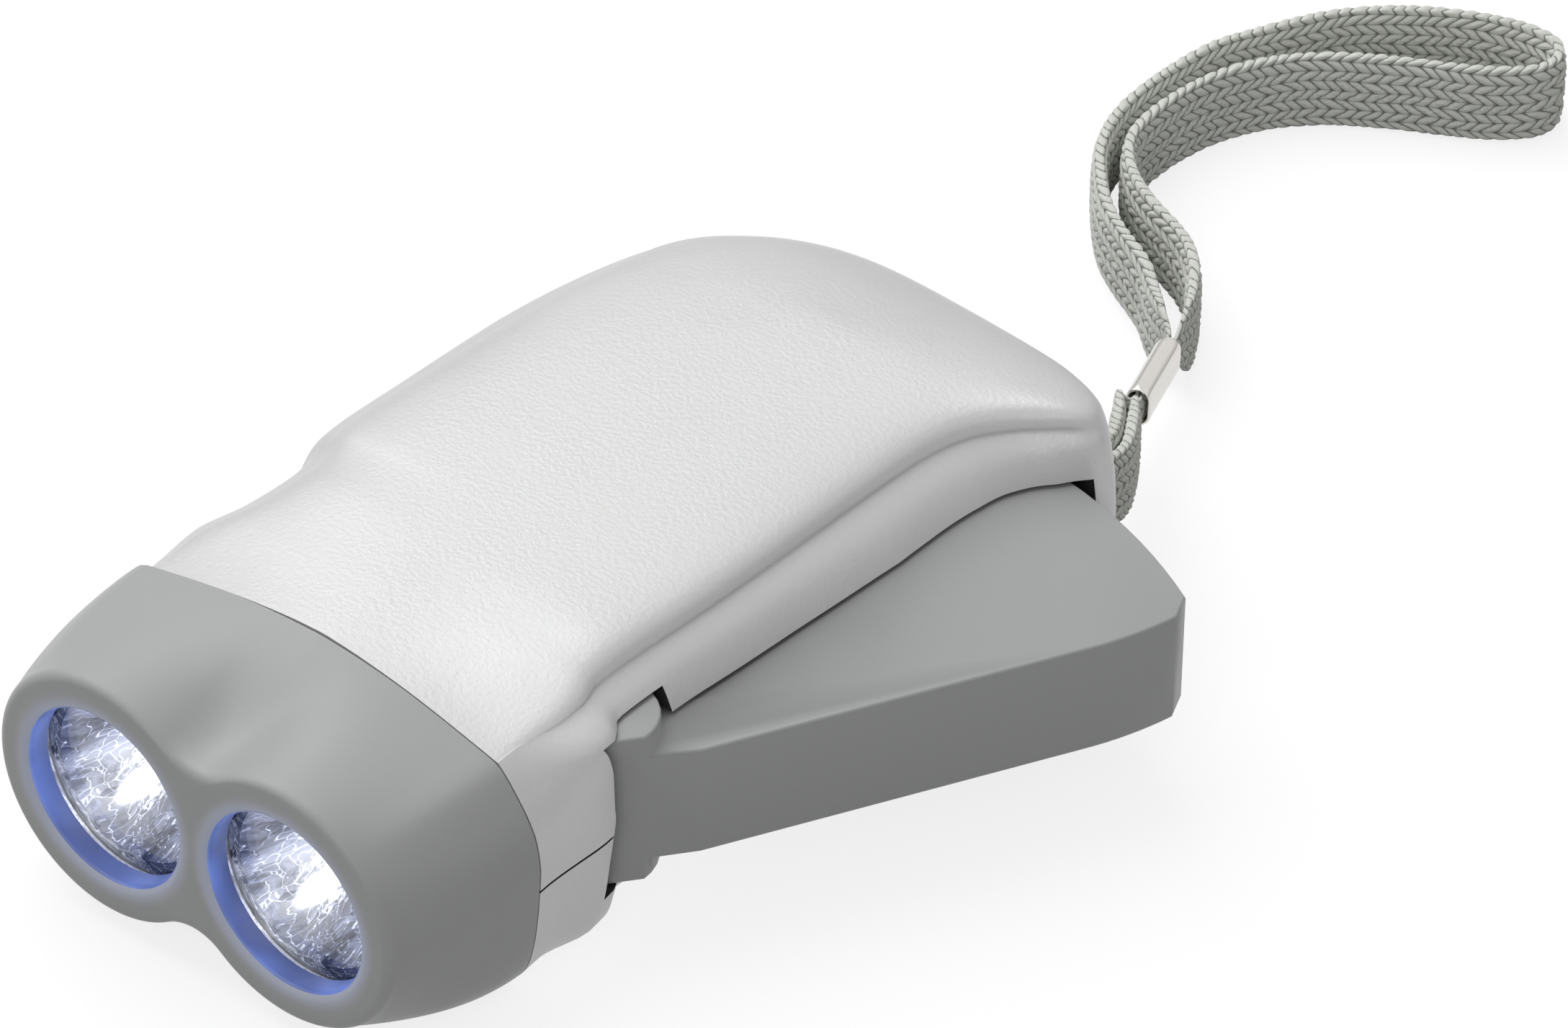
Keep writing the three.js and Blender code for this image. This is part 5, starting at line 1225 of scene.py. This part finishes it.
class TORCH_OT_lamps(bpy.types.Operator):
    """Turns the lenses, the metallised reflectors and the lamps"""
    bl_idname = "torch.lamps"
    bl_label = "Lamps"

    def execute(self, context):
        throat = LED_RADIUS + CLEARANCE
        back = REFLECTOR_FRONT + REFLECTOR_DEPTH
        lens_radius = BORE_RADIUS + LENS_RIM

        def cup(share, wall):
            radius = throat + (BORE_RADIUS - REFLECTOR_LIP - throat) * math.sqrt(share) + wall
            depth = back - REFLECTOR_WALL + (REFLECTOR_FRONT - back + REFLECTOR_WALL) * share
            return radius, depth

        shares = np.linspace(0, 1, CUP_STEPS)
        flange = REFLECTOR_FRONT + REFLECTOR_FLANGE
        led_back = back + CLEARANCE + LED_BASE
        dome = led_back - LED_LENGTH
        for side, x in (("left", -LAMP_SPACING / 2), ("right", LAMP_SPACING / 2)):
            lens = turned(f"clear_lens_{side}", [
                (0, LENS_FRONT), (lens_radius - LENS_CHAMFER, LENS_FRONT),
                (lens_radius, LENS_FRONT + LENS_CHAMFER), (lens_radius, LENS_BACK),
                (0, LENS_BACK)], x)
            dress(lens, "lens", "housing", "clear_plastic", f"lens_{side}")
            outside = [cup(s, REFLECTOR_WALL) for s in shares[::-1] if 0 < s < CUP_OUTSIDE_SHARE]
            mirror = turned(f"mirror_{side}", [
                cup(1, 0), (lens_radius, REFLECTOR_FRONT), (lens_radius, flange),
                (BORE_RADIUS, flange), *outside, (throat + REFLECTOR_WALL, back), (throat, back),
                *(cup(s, 0) for s in shares)], x, MIRROR_SIDES)
            dress(mirror, "mirror", "housing", "chrome", f"reflector_{side}")
            led = turned(f"lamp_{side}", [
                *arc(LED_RADIUS, 270, 360, DOME_STEPS, (0, dome)),
                (LED_RADIUS, led_back - LED_BASE), (LED_RADIUS + LED_FLANGE, led_back - LED_BASE),
                (LED_RADIUS + LED_FLANGE, led_back), (0, led_back)], x, LED_SIDES)
            dress(led, "led", "housing", "led_epoxy", f"led_{side}")
        return {"FINISHED"}


# Lever, fasteners and works.

class TORCH_OT_lever(bpy.types.Operator):
    """Finishes the grip lever, whose barrel and toothed sector are the CAD's own shapes"""
    bl_idname = "torch.lever"
    bl_label = "Grip Lever"

    def execute(self, context):
        lever = copied("squeeze_lever", "grip_lever")
        dress(lever, "grey", "lever", "grey_plastic", "grip_lever")
        return {"FINISHED"}


class TORCH_OT_pin(bpy.types.Operator):
    """Turns the steel pin that the grip lever swings on"""
    bl_idname = "torch.pin"
    bl_label = "Hinge Pin"

    def execute(self, context):
        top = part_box("pivot_pin")[1].z / MM - LENS_FACE[2]
        levels = ((PIN_CHAMFER, PIN_FOOT), (0, PIN_FOOT + PIN_CHAMFER),
                  (0, top - PIN_CHAMFER), (PIN_CHAMFER, top))
        pin = loft("hinge_pin", [
            [(x, y, z) for x, y in ring_of(PIN_RADIUS - cut, PIN_SIDES, PIVOT)]
            for cut, z in levels])
        dress(pin, "steel", "housing", "steel", "pivot_pin")
        return {"FINISHED"}


class TORCH_OT_screws(bpy.types.Operator):
    """Turns the cross-head screws of the housing and of the gear plate"""
    bl_idname = "torch.screws"
    bl_label = "Screws"

    def execute(self, context):
        for count, piece, node, head, shank, head_up in (
                (4, "case_screw", "housing_screw", SCREW_HEAD, SCREW_SHANK, False),
                (3, "carrier_screw", "plate_screw", PLATE_SCREW_HEAD, PLATE_SCREW_SHANK, True)):
            for i in range(1, count + 1):
                self.screw(f"{piece}_{i}", f"{node}_{i}", head, shank, head_up)
        return {"FINISHED"}

    def screw(self, name, node, head, shank, head_up):
        """A pan head with a cross recess, and a shank with a rolled thread."""
        low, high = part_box(node)
        (radius, tall), length_along = head, (high.z - low.z) / MM
        root = shank - THREAD_DEPTH
        profile = [(0, 0), (radius - SCREW_CHAMFER, 0), (radius - SCREW_EDGE, SCREW_EDGE),
                   (radius, SCREW_CHAMFER), (radius, tall - SCREW_EDGE),
                   (radius - SCREW_EDGE, tall), (shank, tall)]
        for k in range(int((length_along - tall - THREAD_SPARE) / THREAD_PITCH)):
            start = tall + THREAD_START + k * THREAD_PITCH
            profile += [(root, start), (shank, start + THREAD_PITCH / 2)]
        profile += [(root, length_along - SCREW_TIP), (SCREW_EDGE, length_along),
                    (0, length_along)]
        middle = (low + high) / 2
        sign = -1 if head_up else 1
        base = high.z if head_up else low.z
        piece = spun(name, profile, SCREW_SIDES, lambda r, turn, z: (
            middle.x + r * MM * math.cos(turn), middle.y + r * MM * math.sin(turn),
            base + sign * z * MM))
        place = np.array(middle) / MM - LENS_FACE
        face = base / MM - LENS_FACE[2]
        deep = face + sign * tall * CROSS_DEPTH_SHARE
        ends = (min(face - sign, deep), max(face - sign, deep))
        reach, half = radius * CROSS_ARM[1], radius * CROSS_ARM[0] / 4
        carve(piece, [
            block((place[0] - a, place[0] + a), (place[1] - b, place[1] + b), ends)
            for a, b in ((reach, half), (half, reach))])
        dress(piece, "steel", "housing", "steel", node)


CARRIED_OVER = {
    "steel": ["return_spring", "first_axle", "second_axle", "rotor_axle", "flywheel",
              "stator_core", "strap_pin"],
    "nylon": ["first_gear", "second_gear", "rotor_pinion", "gear_plate"],
    "ferrite": ["ring_magnet"],
    "black": ["rectifier", "smoothing_capacitor", "cell_lead_left", "coil_lead_lower",
              "coil_bobbin"],
    "red": ["cell_lead_right", "coil_lead_upper"],
    "copper": ["coil_winding"],
    "board": ["circuit_board"],
    "cell": ["storage_cell"],
}


class TORCH_OT_works(bpy.types.Operator):
    """Finishes the gear train, the generator and the electrics, whose shapes are the CAD's own"""
    bl_idname = "torch.works"
    bl_label = "Works"

    def execute(self, context):
        for finish, names in CARRIED_OVER.items():
            for name in names:
                for slot in NODES[name].material_slots:
                    slot.material = MATERIALS[finish]
        return {"FINISHED"}


# Camera and stage.

VIEW_TURN = math.radians(39.8)
VIEW_RISE = math.radians(38.25)
VIEW_ROLL = math.radians(1.03)
VIEW_DISTANCE = 1000.0
VIEW_ASIDE = (58.04, 33.11)
VIEW_LENS = 234.7
SENSOR_WIDTH = 36.0
CLIP_START = 0.01


class TORCH_OT_camera(bpy.types.Operator):
    """Sets the camera at the photograph's viewing angle"""
    bl_idname = "torch.camera"
    bl_label = "Camera"

    def execute(self, context):
        back = Vector((
            math.sin(VIEW_TURN) * math.cos(VIEW_RISE), -math.cos(VIEW_TURN) * math.cos(VIEW_RISE),
            math.sin(VIEW_RISE)))
        level = Vector((math.cos(VIEW_TURN), math.sin(VIEW_TURN), 0))
        rising = back.cross(level)
        right = math.cos(VIEW_ROLL) * level + math.sin(VIEW_ROLL) * rising
        up = math.cos(VIEW_ROLL) * rising - math.sin(VIEW_ROLL) * level
        place = back * VIEW_DISTANCE + right * VIEW_ASIDE[0] + up * VIEW_ASIDE[1]
        pose = Matrix((right, up, back)).transposed().to_4x4()
        pose.translation = Vector(at(place))
        lens = bpy.data.cameras.new("Photo view")
        lens.sensor_width = SENSOR_WIDTH
        lens.lens = VIEW_LENS
        lens.clip_start = CLIP_START
        camera = bpy.data.objects.new("Photo view", lens)
        camera.matrix_world = pose
        context.scene.collection.objects.link(camera)
        context.scene.camera = camera
        return {"FINISHED"}


FLOOR_HALF = 3.0
FLOOR_DROP = 0.05 * MM
FLOOR_GLOW = 0.8
FILL_LEVEL = 0.3
AIM = Vector((0, 0, 0.01))
# Softboxes: name, place and width in metres, and power in watts.
SOFTBOXES = (("Key softbox", (-0.5, 0.1, 0.82), 0.95, 6.0),
             ("Front softbox", (0.38, -0.7, 0.6), 0.5, 1.3))


def seen(add, *kinds):
    """1 for the camera's and the named kinds of ray, and 0 for the light that falls on things."""
    path = add("LightPath").outputs
    found = path["Is Camera Ray"]
    for kind in kinds:
        found = add("Math", [found, path[f"Is {kind} Ray"]], operation="MAXIMUM")
    return found


class TORCH_OT_stage(bpy.types.Operator):
    """Lays the pale floor and hangs the soft studio lights"""
    bl_idname = "torch.stage"
    bl_label = "Stage"

    def execute(self, context):
        context.scene.view_settings.view_transform = "Standard"
        self.lay_floor()
        self.light_world(context)
        for softbox in SOFTBOXES:
            self.hang(*softbox)
        return {"FINISHED"}

    def lay_floor(self):
        bm = bmesh.new()
        bmesh.ops.create_grid(bm, x_segments=8, y_segments=8, size=FLOOR_HALF)
        bmesh.ops.translate(bm, verts=bm.verts, vec=(0, 0, -FLOOR_DROP))
        floor = from_bmesh("studio_floor", bm)
        # Painted board: matt, and grey enough to keep the torch's shadow; its glow, which only
        # the camera and mirrored or clear pieces see, makes it look white.
        material, add, shader = finish_of("White painted board", roughness=0.9)
        lit = seen(add, "Transmission", "Glossy")
        feed(shader, {
            "Base Color": linear("#8C8C8C"), "Emission Color": linear("#FFFFFF"),
            "Emission Strength": add("Math", [lit, FLOOR_GLOW], operation="MULTIPLY")})
        floor.data.materials.append(material)

    def light_world(self, context):
        world = bpy.data.worlds.new("Studio")
        world.use_nodes = True
        context.scene.world = world
        add = partial(add_to, world.node_tree)
        # Polished metal mirrors a white ceiling above a dimmer horizon.
        rise = add("SeparateXYZ", [add("TexCoord").outputs["Generated"]]).outputs[2]
        ceiling = add("MapRange", {
            "Value": rise, "From Min": 0.1, "From Max": 0.45, "To Min": 0.6})
        mirrored = add("Math", [
            ceiling, add("LightPath").outputs["Is Glossy Ray"]], operation="MULTIPLY")
        level = add("Math", [mirrored, FILL_LEVEL], operation="MAXIMUM")
        feed(world.node_tree.nodes["Background"], {
            "Color": linear("#FFFFFF"),
            "Strength": add("Math", [seen(add, "Transmission"), level],
                            operation="MAXIMUM")})

    def hang(self, name, place, size, power):
        lamp = bpy.data.lights.new(name, "AREA")
        lamp.shape = "SQUARE"
        lamp.size = size
        lamp.energy = power
        holder = bpy.data.objects.new(name, lamp)
        holder.location = place
        holder.rotation_euler = (AIM - Vector(place)).to_track_quat("-Z", "Y").to_euler()
        bpy.context.scene.collection.objects.link(holder)


class TORCH_PT_panel(bpy.types.Panel):
    """Lists the steps that build the torch"""
    bl_idname = "TORCH_PT_panel"
    bl_label = "Squeeze Dynamo Torch"
    bl_space_type = "VIEW_3D"
    bl_region_type = "UI"
    bl_category = "Torch"

    def draw(self, context):
        for step in STEPS:
            self.layout.operator(step.bl_idname)
        for group in (context.scene.torch_sizes, context.scene.torch_colours):
            for name in group.bl_rna.properties.keys():
                if name not in ("rna_type", "name"):
                    self.layout.prop(group, name)


STEPS = (TORCH_OT_camera, TORCH_OT_strap, TORCH_OT_housing, TORCH_OT_head, TORCH_OT_lamps,
         TORCH_OT_lever, TORCH_OT_pin, TORCH_OT_screws, TORCH_OT_works, TORCH_OT_stage)
CLASSES = (TorchSizes, TorchColours, *STEPS, TORCH_PT_panel)


def register():
    for kind in CLASSES:
        bpy.utils.register_class(kind)
    bpy.types.Scene.torch_sizes = PointerProperty(type=TorchSizes)
    bpy.types.Scene.torch_colours = PointerProperty(type=TorchColours)


def unregister():
    del bpy.types.Scene.torch_colours
    del bpy.types.Scene.torch_sizes
    for kind in reversed(CLASSES):
        bpy.utils.unregister_class(kind)


def main():
    register()
    make_materials()
    bpy.ops.torch.camera()
    bpy.ops.torch.strap()
    bpy.ops.torch.housing()
    bpy.ops.torch.head()
    bpy.ops.torch.lamps()
    bpy.ops.torch.lever()
    bpy.ops.torch.pin()
    bpy.ops.torch.screws()
    bpy.ops.torch.works()
    bpy.ops.torch.stage()
    bpy.context.view_layer.update()


if __name__ == "__main__":
    main()
